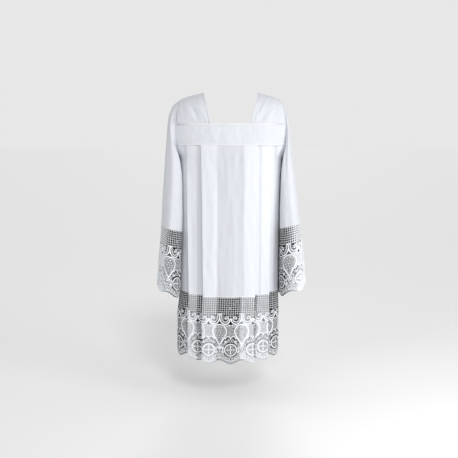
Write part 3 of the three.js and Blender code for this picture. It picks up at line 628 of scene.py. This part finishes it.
class Threads:
    """Collects cords and buds laid on a strip's flat coordinates, and makes them one mesh.

    place maps (s, h) to points, outward is the side of the strip's own normal that faces away from the
    wearer, and turned(s) tells where a pleat turns the strip over. single(s) is 1 where one layer hangs
    alone, and pale(s) is 1 where the painted shade on flanks and inner faces is lighter.
    """

    def __init__(self, place, low, high, outward, turned=always(0), single=always(1), pale=always(0),
                 flank=FLANK, spread=1.0):
        self.place, self.low, self.high, self.outward = place, low, high, outward
        self.turned, self.single, self.pale = turned, single, pale
        self.flank, self.spread = flank, spread
        self.cords, self.buds = [], []

    def cord(self, points, width, height, closed=False, rim=0.9, stacked=STACKED):
        """A cord through flat points (s, h), with a flat crest and sloping flanks."""
        points = np.asarray(points, float)
        inside = (points[:, 0] > self.low) & (points[:, 0] < self.high)
        whole = inside.all()
        for run in [points] if whole else split_runs(points, inside):
            self.cords.append((run, width * CREST_SHARE / 2, rim, height / 2, closed and whole, stacked))

    def bud(self, s, h, radius, height=1.6, tall=1.0, turn=0.0):
        """A padded round or oval bud."""
        if self.low + radius < s < self.high - radius:
            self.buds.append((s, h, radius, height, tall, turn))

    def normals(self, s, h):
        step = 0.9
        across = self.place(s + step, h) - self.place(s - step, h)
        down = self.place(s, h + step) - self.place(s, h - step)
        normal = np.cross(across, down)
        return normal / np.maximum(1e-9, np.linalg.norm(normal, axis=1))[:, None]

    def sense(self, s):
        """+1 where the strip's normal faces away from the wearer and -1 where it faces inward."""
        return np.where(self.turned(s), -self.outward, self.outward)

    def cord_part(self, points, crest, rim, half_height, closed, stacked):
        """A cord's flat points, their heights, its faces and the faces' shades."""
        n = len(points)
        single, pale = self.single(points[:, 0]), self.pale(points[:, 0])
        crest = crest * mix(stacked[0], 1, single)[:, None]
        lower = 1 + LOW_RIM * np.clip((points[:, 1] - LOW_FROM) / LOW_OVER, 0, 1)
        base = crest + rim * self.spread * (mix(STACKED_RIM, 1, single) * lower)[:, None]
        ahead = np.roll(points, -1, 0) if closed else np.vstack([points[1:], points[-1:]])
        back = np.roll(points, 1, 0) if closed else np.vstack([points[:1], points[:-1]])
        tangent = ahead - back
        tangent /= np.maximum(1e-9, np.linalg.norm(tangent, axis=1))[:, None]
        sense = self.sense(points[:, 0])[:, None]
        side = np.stack([-tangent[:, 1], tangent[:, 0]], 1) * sense
        flat = np.stack([points + side * reach for reach in (base, crest, -crest, -base)], 1)
        rise = np.array([-half_height, half_height, half_height, -half_height]) * sense
        ring = np.arange(n * 4).reshape(n, 4)
        near, far = (ring, np.roll(ring, -1, 0)) if closed else (ring[:-1], ring[1:])
        # Flanks and inner faces are painted dark as shade behind the lace, lighter where layers stack or
        # pale(s) is 1.
        flank = mix(mix(stacked[1], self.flank, single), PALE_SHADE, pale)
        inner = mix(INNER, PALE_SHADE, pale)
        faces, shades = [], []
        for k, shade in enumerate((flank, np.full(n, OUTER), flank, inner)):
            m = (k + 1) % 4
            faces.append(np.stack([near[:, k], near[:, m], far[:, m], far[:, k]], 1))
            shades.append(shade[: len(near)])
        if not closed:
            faces += [ring[0][None, ::-1], ring[-1][None, :]]
            shades.append(np.full(2, self.flank))
        return flat.reshape(-1, 2), rise.reshape(-1), np.concatenate(faces), np.concatenate(shades)

    def bud_part(self, s, h, radius, height, tall, turn):
        """A bud's flat points, their heights, its faces and the faces' shades."""
        sense = float(self.sense(s))
        angle = np.arange(BUD_SIDES) * 2 * math.pi / BUD_SIDES
        along, across = np.cos(angle) * radius * tall, np.sin(angle * sense) * radius
        rim = np.stack([s + along * math.cos(turn) - across * math.sin(turn),
                        h + along * math.sin(turn) + across * math.cos(turn)], 1)
        inner = (rim - (s, h)) * BUD_INNER + (s, h)
        rise = np.repeat([0, height * BUD_RISE, height * BUD_TOP, height * BUD_BELOW],
                         [BUD_SIDES, BUD_SIDES, 1, 1])
        return np.vstack([rim, inner, [(s, h)], [(s, h)]]), sense * rise, BUD_FACES, BUD_SHADES

    def make(self, name, material):
        parts = [self.cord_part(*cord) for cord in self.cords] + [self.bud_part(*bud) for bud in self.buds]
        starts = np.cumsum([0] + [len(part[0]) for part in parts])
        s, h = np.concatenate([part[0] for part in parts]).T
        rise = np.concatenate([part[1] for part in parts])
        faces = np.concatenate([part[2] + start for part, start in zip(parts, starts)])
        points = self.place(s, h) + self.normals(s, h) * rise[:, None]
        obj = link_mesh(name, points, [list(dict.fromkeys(face)) for face in faces.tolist()], material)
        set_tone_and_painted_light(obj, "FACE", np.concatenate([part[3] for part in parts]))
        return obj


def split_runs(points, inside):
    """The stretches of a line that lie inside, with at least two points each."""
    runs, current = [], []
    for point, kept in zip([*points, None], [*inside, False]):
        if kept:
            current.append(point)
            continue
        if len(current) > 1:
            runs.append(np.array(current))
        current = []
    return runs


def curve(points, spacing=3.2, closed=False):
    """A smooth line through the given flat points, sampled evenly."""
    p = np.asarray(points, float)
    if closed:
        p = np.vstack([p, p[:1]])
    marks = np.concatenate([[0], np.cumsum(np.linalg.norm(np.diff(p, axis=0), axis=1))])
    if closed:
        padded = np.vstack([p[-2], p, p[1]])
        keys = np.concatenate([[marks[0] - (marks[-1] - marks[-2])], marks, [marks[-1] + marks[1]]])
        slopes = (padded[2:] - padded[:-2]) / (keys[2:] - keys[:-2])[:, None]
    else:
        slopes = np.gradient(p, marks, axis=0)
    count = max(2, int(round(marks[-1] / spacing))) + 1
    q = np.linspace(0, marks[-1], count)
    i = np.clip(np.searchsorted(marks, q) - 1, 0, len(marks) - 2)
    step = (marks[i + 1] - marks[i])[:, None]
    t = (q - marks[i])[:, None] / step
    line = hermite(t, step, p[i], slopes[i], p[i + 1], slopes[i + 1])
    return line[:-1] if closed else line


def circle(s, h, radius, sides):
    angle = np.arange(sides) * 2 * math.pi / sides
    return np.stack([s + radius * np.cos(angle), h + radius * np.sin(angle)], 1)


# ---------- the lace's pattern, in millimetres from a motif's axis and down from the seam ----------
HALF = LACE_REPEAT / 2
NET_PITCH = LACE_REPEAT / 10
NET_WIDTH, NET_RIM, NET_ROWS = 1.3, 1.5, 12
LACE_TOP = -5                   # the net starts this much above the seam's own line
NET_FOOT = ((0, 73), (7, 66), (18, 60), (32, 58), (HALF, 58))       # across, lowest net
SCROLL_OUTER = ((39.2, 60), (39.6, 70), (36.5, 81), (29, 90), (18.5, 93.5), (9, 89.5), (3.4, 81), (1.7, 72))
SCROLL_INNER = (
    (31.5, 59), (32.6, 69), (29.4, 78.5), (22.5, 84.6), (14.8, 84), (9.3, 78.5), (8.2, 71), (12.4, 65.8),
    (18.4, 66.6), (20.8, 72), (17.6, 76.8),
)
SCROLL_BARS = (                 # from (across, down) to (across, down), as the other bars below
    (39, 66, 33, 66), (36, 81.5, 31, 77), (27.5, 90.5, 24.5, 84), (17, 93, 17.5, 85), (7.5, 88, 11, 82),
    (2.6, 77, 8, 76),
)
SCROLL_BUDS = (                 # across, down, radius, height, length to width, turn
    (14.2, 72.6, 3.0, 2.0, 1.0, 0.0), (35.4, 57.6, 3.4, 2.0, 1.2, 0.4), (26.2, 66.4, 1.6, 1.4, 1.0, 0.0),
    (26.0, 73.6, 1.7, 1.4, 1.0, 0.0), (5.5, 97.5, 2.5, 1.6, 1.25, 0.5), (14, 100.5, 2.3, 1.6, 1.25, 0.5),
    (22, 98.6, 2.1, 1.6, 1.25, 0.5), (30.5, 94.6, 1.9, 1.6, 1.25, 0.5),
)
OVAL_EDGE = (                   # half width from its own axis, down
    (0, 95), (9, 96.5), (18, 102), (23.6, 110.5), (25, 120), (22.6, 131), (17.2, 142.5), (11, 152.5),
    (5, 161.5), (0, 167),
)
OVAL_MIDDLE, OVAL_BUD_ROWS = 128, (107, 116, 125, 134, 143)
LATTICE_PITCH, LATTICE_LEAN = 5.2416, 0.8
TULLE_PITCH = 2.9
MEDALLION_H, RING_OUTER, RING_INNER = 187, 21.2, 16.4
CROWN = (
    ((0.4, 147.5), (2.6, 140), (8.6, 136.6), (14.8, 139.4), (18, 147)),
    ((18, 147), (22, 143.6), (28, 146.6), (31.4, 153), (31.6, 160.5)),
    ((31.6, 160.5), (36.2, 162), (38.6, 168), (37.4, 174.5)),
)
CROWN_RINGS = ((8, 153.6, 5.0), (29.5, 168.5, 4.4))                 # across, down, radius
FLOWERS = ((18.6, 158.8), (26.8, 181.5), (27.6, 194.5))
MEDALLION_BARS = (
    (8, 147, 8, 138), (12, 157, 15, 162), (18.6, 152.6, 19, 147), (24, 163, 27, 166), (22, 175, 19.5, 178),
    (31, 152, 24, 156), (3, 152, 0, 147.5), (31, 175, 36, 174), (33, 182, 36, 184), (33, 195, 36, 197),
    (0, 165.8, 0, 158), (0, 158, 3.4, 155.6),
)
FOOT_RINGS = ((8.2, 219.6, 5.6), (20.2, 213.8, 5.4), (30.2, 205.6, 5.0))
BETWEEN_LEAF = ((0, 186), (5.4, 190), (5.6, 197), (0, 203))
BETWEEN_BARS = ((6, 196, 9.4, 199), (5.6, 184, 9, 186))


def oval_half(h):
    half_widths, heights = zip(*OVAL_EDGE)
    return np.interp(h, heights, half_widths, left=0, right=0)


def lace_foot(u):
    """Lowest point of the lace's scalloped edge."""
    return LACE_LENGTH - 8 - 13 * np.sin(math.pi * u / LACE_REPEAT) ** 2


def mirrored(points, sign):
    return [(sign * u, h) for u, h in points]


class Motif:
    """Lays cords and buds by their distance from one motif's axis."""

    def __init__(self, threads, axis):
        self.threads, self.axis = threads, axis

    def cord(self, points, *args, **kw):
        self.threads.cord(np.asarray(points) + (self.axis, 0), *args, **kw)

    def bud(self, u, *args):
        self.threads.bud(self.axis + u, *args)

    def bars(self, ends, sign):
        for u0, h0, u1, h1 in ends:
            self.cord([(sign * u0, h0), (sign * u1, h1)], 1.0, 0.8)

    def ring(self, u, h, radius, width, height, bud):
        """A small ring with a bud in it: bud is the bud's radius and height."""
        self.cord(circle(u, h, radius, 12), width, height, closed=True)
        self.bud(u, h, *bud)

    def flower(self, u, h, core, reach, petal):
        """A small five-petalled flower."""
        self.bud(u, h, core, 2.2)
        for k in range(5):
            angle = math.radians(72 * k - 90)
            out = reach + 1.2
            self.bud(u + out * math.cos(angle), h + out * math.sin(angle), petal, 1.6, 1.35, angle)


def lace_net(threads, start, end):
    """The square net over the whole strip, down to the scrolls."""
    foot_u, foot_h = zip(*NET_FOOT)

    def foot(s):
        u = np.abs((s + HALF) % LACE_REPEAT - HALF)
        return np.interp(u, foot_u, foot_h)

    for k in range(math.ceil(start / NET_PITCH), math.floor(end / NET_PITCH) + 1):
        s = k * NET_PITCH
        reach = float(foot(np.array(s)))
        heights = np.linspace(LACE_TOP, reach, max(3, round(reach / NET_PITCH)) + 2)
        threads.cord([(s, h) for h in heights], NET_WIDTH, 0.7, rim=NET_RIM, stacked=STACKED_NET)
    along = np.arange(start + 0.01, end, NET_PITCH / 2)
    for row in range(NET_ROWS):
        h = row * NET_PITCH
        line = np.stack([along, np.full_like(along, h)], 1)
        for run in split_runs(line, h < foot(along) + 1):
            threads.cord(run, NET_WIDTH, 0.6, rim=NET_RIM, stacked=STACKED_NET)


def lace_fill(motif):
    """The ovals' diagonal lattice and the tulle between them, for the half repeats beside one axis."""
    for direction in (-1, 1):
        for k in range(-16, 17):
            t = np.arange(94, 168, 2.6)
            u = HALF + k * LATTICE_PITCH + direction * (t - 130) * LATTICE_LEAN
            inside = np.abs(u - HALF) < oval_half(t) - 0.5
            for run in split_runs(np.stack([u, t], 1), inside):
                motif.cord(run, 0.9, 0.6, rim=0.5)
    for direction in (-1, 1):
        for k in range(-22, 23):
            t = np.arange(88, 150, 1.8)
            u = k * TULLE_PITCH + direction * (t - 118)
            off = np.abs(u)
            top = 95 - 0.3 * off
            crown = 146 - 0.28 * off * (off < 20) - 4
            inside = (off < HALF - oval_half(t)) & (off < 34) & (t > top) & (t < crown)
            for run in split_runs(np.stack([u, t], 1), inside):
                if len(run) > 4:
                    run = run[[0, *range(3, len(run) - 1, 3), -1]]
                motif.cord(run, 0.5, 0.4, rim=0.5)


def lace_scrolls(motif):
    for sign in (-1, 1):
        motif.cord(curve(mirrored(SCROLL_OUTER, sign)), 5.2, 2.0, rim=2.4)
        motif.cord(curve(mirrored(SCROLL_INNER, sign), 2.8), 3.6, 1.8, rim=2.2)
        motif.bars(SCROLL_BARS, sign)
        for u, h, radius, height, tall, turn in SCROLL_BUDS:
            motif.bud(sign * u, h, radius, height, tall, sign * turn)


def lace_medallion(motif):
    """A round medallion with a plain cross, its crown of petals and the flowers round it."""
    h0 = MEDALLION_H
    motif.cord(circle(0, h0, RING_OUTER, 36), 4.6, 2.4, closed=True, rim=1.6)
    motif.cord(circle(0, h0, RING_INNER, 28), 1.2, 1.4, closed=True)
    for angle in np.radians(np.arange(0, 360, 30)):
        c, s = math.cos(angle), math.sin(angle)
        motif.cord([(r * c, h0 + r * s) for r in (RING_INNER, RING_OUTER)], 0.7, 0.9)
    for du, dh in ((1, 0), (-1, 0), (0, 1), (0, -1)):
        motif.cord([(r * du, h0 + r * dh) for r in (3.2, 9, 15.6)], 3.4, 1.8)
        tips = ((11.6, -4.2), (11.0, 0), (11.6, 4.2))       # an arm's flared end
        motif.cord([(r * du + w * dh, h0 + r * dh + w * du) for r, w in tips], 2.2, 1.6)
        diagonal_u, diagonal_h = (du - dh) * 0.7071, (du + dh) * 0.7071
        motif.cord([(r * diagonal_u, h0 + r * diagonal_h) for r in (4.0, 15.4)], 0.7, 0.9)
        motif.bud(10.2 * diagonal_u, h0 + 10.2 * diagonal_h, 1.7, 1.5)
    motif.ring(0, h0, 4.4, 2.0, 1.8, (2.4, 2.2))
    for sign in (-1, 1):
        for arc in CROWN:
            motif.cord(curve(mirrored(arc, sign), 2.8), 3.8, 1.8, rim=2.2)
        for u, h, radius in CROWN_RINGS:
            motif.ring(sign * u, h, radius, 1.9, 1.5, (1.7, 1.4))
        for u, h in FLOWERS:
            motif.flower(sign * u, h, 2.2, 3.3, 1.9)
        motif.bars(MEDALLION_BARS, sign)
        for u, h, radius in FOOT_RINGS:
            motif.ring(sign * u, h, radius, 2.4, 1.7, (2.2, 1.7))
    motif.bud(0, 212.6, 2.4, 1.7)


def lace_between(motif):
    """An oval with a fine cord and buds inside it, and what hangs under it."""
    right = list(OVAL_EDGE)
    left = mirrored(reversed(OVAL_EDGE[1:-1]), -1)
    motif.cord(curve(right + left, closed=True), 5.2, 2.2, closed=True, rim=1.8)
    inner = [(u * 0.8, OVAL_MIDDLE + (h - OVAL_MIDDLE) * 0.84) for u, h in right + left]
    motif.cord(curve(inner, 4, closed=True), 1.3, 1.2, closed=True)
    for row, h in enumerate(OVAL_BUD_ROWS):
        reach = float(oval_half(np.array(h))) * 0.62
        for u in np.arange(-reach + (row % 2) * 4.5, reach + 0.1, 9):
            motif.bud(u, h, 1.9, 1.5)
    motif.flower(0, 178, 2.6, 4.6, 2.5)
    motif.cord([(0, 167), (0, 172)], 1.8, 1.4)
    for sign in (-1, 1):
        motif.cord(curve(mirrored(BETWEEN_LEAF, sign), 2.8), 2.2, 1.6)
        motif.bars(BETWEEN_BARS, sign)
    motif.bud(0, 194.5, 2.2, 1.8, 1.6, math.pi / 2)
    motif.ring(0, 209.4, 5.2, 2.4, 1.7, (2.2, 1.7))


def lace_edge(threads, start, end):
    """The scalloped border: a run of small petals with a bud in each, under a guiding cord."""
    spacing = LACE_REPEAT / 7
    first = math.ceil((start + spacing / 2) / spacing)
    last = math.floor((end - spacing / 2) / spacing)
    for k in range(first, last + 1):
        s = k * spacing
        h = float(lace_foot(s))
        lean = (float(lace_foot(s + 2)) - float(lace_foot(s - 2))) / 4
        arc = []
        for a in np.radians(np.linspace(-96, 96, 8)):
            drop = -3.2 + 7.6 * math.cos(a) + lean * spacing * 0.5 * math.sin(a)
            arc.append((s + spacing * 0.52 * math.sin(a), h + drop))
        threads.cord(arc, 2.8, 1.6, rim=1.2)
        threads.bud(s, h - 1.2, 2.6, 1.7)
    along = np.arange(start + 0.5, end, 3.0)
    threads.cord(np.stack([along, lace_foot(along) - 4.4], 1), 1.6, 1.3)


def lace_heading(threads, start, end):
    """The seam where the lace hangs from the cloth: a cord and a row of tiny points."""
    along = np.arange(start + 0.2, end, 3.0)
    threads.cord(np.stack([along, np.full_like(along, LACE_TOP + 0.8)], 1), 2.2, 1.8, rim=0.2)
    for s in np.arange(start + 2, end - 2, 4.4):
        threads.bud(s, LACE_TOP - 1.6, 1.5, 1.3)


def lace_strip(name, place, start, end, phase, outward, face, turned=always(0), single=always(1),
               pale=always(0)):
    """A whole strip of lace from start to end, with motif axes at phase + whole repeats."""
    def shifted(s, h):
        return place(np.clip(s + phase, start, end), h)

    low, high = start - phase, end - phase
    threads = Threads(shifted, low, high, outward, lambda s: turned(s + phase),
                      lambda s: single(s + phase), pale, spread=SPREAD[face])
    lace_heading(threads, low, high)
    lace_net(threads, low, high)
    for k in range(math.floor(low / LACE_REPEAT) - 1, math.ceil(high / LACE_REPEAT) + 1):
        axis = k * LACE_REPEAT
        lace_fill(Motif(threads, axis))
        lace_scrolls(Motif(threads, axis))
        lace_medallion(Motif(threads, axis))
        lace_between(Motif(threads, axis + HALF))
    lace_edge(threads, low, high)
    return threads.make(name, LACE)


# ---------- materials ----------
def cloth_material(name, colour, roughness, weave_mm, bump, sheen=0.12, gloss=0.25):
    """Cotton: a plain weave as two crossed bands, slubs, soft tone changes, and painted light and shade
    multiplied in.
    """
    material = bpy.data.materials.new(name)
    material.use_nodes = True
    nodes, links = material.node_tree.nodes, material.node_tree.links
    shader = nodes["Principled BSDF"]
    shader.inputs["Roughness"].default_value = roughness
    shader.inputs["Sheen Weight"].default_value = sheen
    shader.inputs["Sheen Roughness"].default_value = 0.5
    shader.inputs["Specular IOR Level"].default_value = gloss
    coordinates = nodes.new("ShaderNodeTexCoord")
    tone = nodes.new("ShaderNodeTexNoise")
    tone.inputs["Scale"].default_value = 40
    tone.inputs["Detail"].default_value = 4
    stretch = nodes.new("ShaderNodeMapping")        # slubs run down the cloth
    stretch.inputs["Scale"].default_value = (1, 1, 0.04)
    links.new(coordinates.outputs["Object"], stretch.inputs["Vector"])
    ramp = nodes.new("ShaderNodeValToRGB")
    ramp.color_ramp.elements[0].position, ramp.color_ramp.elements[1].position = 0.3, 0.7
    ramp.color_ramp.elements[0].color = (*[c * 0.955 for c in colour], 1)
    ramp.color_ramp.elements[1].color = (*colour, 1)
    links.new(stretch.outputs["Vector"], tone.inputs["Vector"])
    links.new(tone.outputs["Fac"], ramp.inputs["Fac"])
    # Reads the painted light and shade that multiply the base colour.
    painted_light_attribute = nodes.new("ShaderNodeAttribute")
    painted_light_attribute.attribute_name = "tone_and_painted_light"
    product = nodes.new("ShaderNodeMix")
    product.data_type, product.blend_type = "RGBA", "MULTIPLY"
    product.inputs["Factor"].default_value = 1
    links.new(ramp.outputs["Color"], product.inputs["A"])
    links.new(painted_light_attribute.outputs["Color"], product.inputs["B"])
    links.new(product.outputs["Result"], shader.inputs["Base Color"])
    slub = nodes.new("ShaderNodeTexNoise")
    slub.inputs["Scale"].default_value = 260
    links.new(coordinates.outputs["Object"], slub.inputs["Vector"])
    height = slub.outputs["Fac"]
    for direction in ("X", "Z"):
        wave = nodes.new("ShaderNodeTexWave")
        wave.bands_direction = direction
        wave.inputs["Scale"].default_value = math.pi / 10 / (weave_mm * MM)
        wave.inputs["Distortion"].default_value = 1.2
        wave.inputs["Detail Scale"].default_value = 3
        links.new(coordinates.outputs["Object"], wave.inputs["Vector"])
        total = nodes.new("ShaderNodeMath")
        total.operation = "ADD"
        links.new(height, total.inputs[0])
        links.new(wave.outputs["Fac"], total.inputs[1])
        height = total.outputs["Value"]
    bumper = nodes.new("ShaderNodeBump")
    bumper.inputs["Strength"].default_value = bump
    bumper.inputs["Distance"].default_value = 0.0003
    links.new(height, bumper.inputs["Height"])
    links.new(bumper.outputs["Normal"], shader.inputs["Normal"])
    return material


COTTON = cloth_material("cotton_poplin", (0.812, 0.836, 0.885), 0.82, 0.9, 0.2)
LACE = cloth_material("lace_thread", (0.925, 0.95, 0.985), 0.85, 0.8, 0.35, sheen=0, gloss=0.03)
TRIM = cloth_material("hemstitch_cotton", (0.92, 0.93, 0.95), 0.75, 0.6, 0.3)

# How bright the cloth's colour is painted: one layer of the skirt, darkened by painted shade, and three
# layers; the painted light, standing for light through the cloth, that lifts the shade beside the sleeves,
# and from where on; then a flat tone for each other piece, and the painted shade on the hemstitch's flanks.
SINGLE_PLY_PAINTED_SHADE, MANY_PLY, SIDE_PAINTED_LIGHT, PAINTED_LIGHT_FROM, PAINTED_LIGHT_OVER = 0.84, 1.0, 0.2, 158, 18
BAND_TONE, TAPE_TONE, STITCH_FLANK, SHOULDER_TONE, SLEEVE_TONE = 0.93, 0.9, 0.85, 0.9, 0.9


# How finely the shells are cut: rows, and columns where they don't follow the skirt's own marks.
SKIRT_ROWS, BAND_CUTS, TAPE_ROWS, SHOULDER_CUTS, SLEEVE_CUTS = 72, (22, 150), 4, (90, 64), (90, 160)


# ---------- skirt ----------
def skirt_tops(s):
    """Where the skirt starts at each cloth length: under the band, or under the armhole."""
    under_band = BAND_BOTTOM - SEAM_GAP
    z = np.full_like(s, under_band)
    for _ in range(14):
        y = np.abs(cloth_plan(s, z)[:, 1])
        lower = ARM_Z - superellipse(y, ARM_HALF_DEPTH, ARM_HALF_HEIGHT, ARM_POWER)
        z = np.where(y < ARM_HALF_DEPTH, np.minimum(under_band, mix(z, lower, 0.6)), under_band)
    return z


def skirt_painted_light(s, x):
    """Brightness by how many layers of cloth lie over each other, as painted shade on single layers, plus
    painted light beside the sleeves.
    """
    hidden = np.zeros_like(s)
    for side in (-1, 1):
        for pleat in PLEATS[side]:
            low, high = pleat["root"][1] + 1, pleat["edge"][0]
            inside = np.clip((side * x - low) / 5, 0, 1) * np.clip((high + 4 - side * x) / 3, 0, 1)
            hidden = np.maximum(hidden, inside)
    beside_sleeve = np.clip((np.abs(x) - PAINTED_LIGHT_FROM) / PAINTED_LIGHT_OVER, 0, 1)
    # Painted shade on single layers, painted light near the sleeves.
    return mix(SINGLE_PLY_PAINTED_SHADE, MANY_PLY, hidden) + SIDE_PAINTED_LIGHT * beside_sleeve


def make_skirt(name, face):
    s = np.concatenate([-PATHS[-1].marks[::-1], PATHS[1].marks[1:]])
    tops = skirt_tops(s)
    bottoms = HEM_SEAM - LACE_TOP + SEAM_GAP + HEM_RISE * skirt_layer(s)
    grid = np.array([skirt_points(s, mix(tops, bottoms, t), face) for t in np.linspace(0, 1, SKIRT_ROWS)])
    tone_and_painted_light = skirt_painted_light(np.tile(s, (len(grid), 1)), grid[:, :, 0])
    return cloth_shell(f"skirt_cloth_{name}", grid, COTTON, tone_and_painted_light)


pieces = {}
for name, face in (("front", -1), ("back", 1)):
    pieces[f"skirt_{name}"] = make_skirt(name, face)
    pieces[f"hem_lace_{name}"] = lace_strip(
        f"hem_lace_threads_{name}", hem_strip(face), 0.5 - HALF_HEM[-1], HALF_HEM[1] - 0.5,
        HEM_PHASE, face, face, hem_turned, hem_single)


# ---------- yoke ----------
TRIM_REACH, TRIM_LIFT, TRIM_OVERLAP = 195.0, 0.9, 2.0


def band_grid(place, heights):
    shares = np.linspace(-1, 1, BAND_CUTS[1])
    return np.array([place(shares, np.full_like(shares, z)) for z in heights])


def make_band(name, face):
    grid = band_grid(band_strip(face), np.linspace(BAND_TOP - SEAM_GAP / 2, BAND_BOTTOM, BAND_CUTS[0]))
    return cloth_shell(f"yoke_band_{name}", grid, COTTON, BAND_TONE)


def make_trim(name, face, top):
    """A hemstitched strip: a flat tape with a raised cord along each edge and a ladder of small bars."""
    grid = band_grid(band_strip(face, TRIM_LIFT), top - np.linspace(0, TRIM_HEIGHT, TAPE_ROWS))
    strip = cloth_shell(name, grid, TRIM, TAPE_TONE)
    place = band_strip(face, TRIM_LIFT + 0.5)

    def flat(s, h):
        return place(np.clip(s / TRIM_REACH, -1, 1), top - h)

    # The stitches' flanks carry painted shade.
    threads = Threads(flat, -TRIM_REACH, TRIM_REACH, face, flank=STITCH_FLANK)
    along = np.arange(-TRIM_REACH + 0.2, TRIM_REACH, 3.2)
    for h in (0.9, TRIM_HEIGHT - 0.9):
        threads.cord(np.stack([along, np.full_like(along, h)], 1), 1.3, 0.8, rim=0.3)
    for s in np.arange(-TRIM_REACH + 1.2, TRIM_REACH - 0.5, 3.1):
        threads.cord([(s, 1.2), (s, TRIM_HEIGHT - 1.2)], 1.1, 0.7, rim=0.25)
    return strip, threads.make(f"{name}_stitches", TRIM)


TRIM_TOPS = {"top": BAND_TOP + TRIM_OVERLAP, "bottom": BAND_BOTTOM + TRIM_HEIGHT - TRIM_OVERLAP}
stitches = {"front": [], "back": []}
for name, face in (("front", -1), ("back", 1)):
    pieces[f"yoke_{name}"] = make_band(name, face)
    for edge, top in TRIM_TOPS.items():
        strip, ladder = make_trim(f"hemstitch_{edge}_{name}", face, top)
        pieces[f"yoke_trim_{edge}_{name}"] = strip
        stitches[name].append(ladder)


# ---------- shoulders and sleeves ----------
def make_shoulder(name, side):
    shares = np.linspace(0, 1, SHOULDER_CUTS[1]) ** 1.15
    turns = np.linspace(-1, 1, SHOULDER_CUTS[0])
    grid = np.array([shoulder_points(side, shares, np.full_like(shares, turn)) for turn in turns])
    return cloth_shell(f"shoulder_cloth_{name}", grid, COTTON, SHOULDER_TONE)


def make_sleeve(name, side):
    turns = np.linspace(0, 1, SLEEVE_CUTS[1], endpoint=False)
    rings = np.linspace(0, CUFF_RING + LACE_TOP / CUFF_STEPS[2], SLEEVE_CUTS[0])
    grid = np.array([sleeve_points(side, np.full_like(turns, v), turns) for v in rings])
    return cloth_shell(f"sleeve_cloth_{name}", grid, COTTON, SLEEVE_TONE, closed=True)


for name, side in (("left", -1), ("right", 1)):
    pieces[f"shoulder_{name}"] = make_shoulder(name, side)
    pieces[f"sleeve_{name}"] = make_sleeve(name, side)
    for half, part in ((0, "front"), (1, "back")):
        pieces[f"cuff_lace_{name}_{part}"] = lace_strip(
            f"cuff_lace_threads_{name}_{part}", cuff_strip(side, half),
            -0.5 * LACE_REPEAT, (CUFF_REPEATS - 0.5) * LACE_REPEAT, CUFF_PHASE[side], side, 2 * half - 1,
            pale=cuff_pale(side, half))


# ---------- each piece's body, and its node's solid hidden ---
for node, piece in pieces.items():
    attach(piece, "root")
    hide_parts(node)

for ladder in stitches["front"] + stitches["back"]:
    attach(ladder, "root")


# ---------- stage, light and camera ----------
FLOOR_Z, FLOOR_HALF = -1120, 60000
FLOOR_CORNERS = [(-FLOOR_HALF, -FLOOR_HALF, FLOOR_Z), (FLOOR_HALF, -FLOOR_HALF, FLOOR_Z),
                 (FLOOR_HALF, FLOOR_HALF, FLOOR_Z), (-FLOOR_HALF, FLOOR_HALF, FLOOR_Z)]
floor_material = bpy.data.materials.new("pale_floor")
floor_material.use_nodes = True
floor_shader = floor_material.node_tree.nodes["Principled BSDF"]
floor_shader.inputs["Base Color"].default_value = (0.96, 0.96, 0.96, 1)
floor_shader.inputs["Roughness"].default_value = 0.9
link_mesh("floor", FLOOR_CORNERS, [(0, 1, 2, 3)], floor_material)

SKY_LIGHT, SKY_SEEN = 0.44, 0.80         # what the studio's walls give, and how bright they look
world = bpy.data.worlds.new("studio")
bpy.context.scene.world = world
world.use_nodes = True
world_nodes, world_links = world.node_tree.nodes, world.node_tree.links
walls = world_nodes["Background"]
walls.inputs["Color"].default_value = (1, 1, 1, 1)
walls.inputs["Strength"].default_value = SKY_LIGHT
seen = world_nodes.new("ShaderNodeBackground")
seen.inputs["Color"].default_value = (1, 1, 1, 1)
seen.inputs["Strength"].default_value = SKY_SEEN
ray = world_nodes.new("ShaderNodeLightPath")
either = world_nodes.new("ShaderNodeMixShader")
world_links.new(ray.outputs["Is Camera Ray"], either.inputs["Fac"])
world_links.new(walls.outputs["Background"], either.inputs[1])
world_links.new(seen.outputs["Background"], either.inputs[2])
world_links.new(either.outputs["Shader"], world_nodes["World Output"].inputs["Surface"])


def aimed(light, azimuth, elevation, distance, target=(0, 0, 0)):
    """Puts a light at an azimuth from the front, positive to the right, facing its target."""
    a, e = math.radians(azimuth), math.radians(elevation)
    toward = Vector((math.sin(a) * math.cos(e), -math.cos(a) * math.cos(e), math.sin(e)))
    light.location = Vector(target) + toward * distance
    light.rotation_euler = toward.to_track_quat("Z", "Y").to_euler()
    bpy.context.scene.collection.objects.link(light)


def soft_light(name, azimuth, elevation, angle, strength):
    """A large distant soft light at an azimuth from the front, positive to the right."""
    data = bpy.data.lights.new(name, "SUN")
    data.angle, data.energy = math.radians(angle), strength
    aimed(bpy.data.objects.new(name, data), azimuth, elevation, 4)


def soft_box(name, azimuth, elevation, distance, size, power, target):
    """A square soft box near the garment."""
    data = bpy.data.lights.new(name, "AREA")
    data.shape, data.size, data.energy = "SQUARE", size, power
    aimed(bpy.data.objects.new(name, data), azimuth, elevation, distance, target)


soft_light("key", 12, 36, 16, 0.92)
soft_box("side", 48, 10, 1.7, 0.8, 12, (0.15, 0, -0.4))
soft_light("left", -38, 30, 25, 0.24)
soft_light("back", 178, 20, 25, 1.05)

MM_PER_PIXEL = 3.7              # at the garment's middle plane, for the frame below
FRAME_PIXELS = 458
CAMERA_DISTANCE = 3.0
EYE_Z = -0.157
AIM = Vector((-0.0065, 0, -0.498))
camera_data = bpy.data.cameras.new("camera")
camera = bpy.data.objects.new("camera", camera_data)
camera.location = (AIM.x, -CAMERA_DISTANCE, EYE_Z)
sight = AIM - camera.location
camera.rotation_euler = sight.to_track_quat("-Z", "Y").to_euler()
camera_data.sensor_width = 36
half_frame = FRAME_PIXELS * MM_PER_PIXEL * MM / 2
camera_data.lens = camera_data.sensor_width / 2 * sight.length / half_frame
bpy.context.scene.collection.objects.link(camera)
bpy.context.scene.camera = camera
bpy.context.scene.view_settings.view_transform = "Standard"
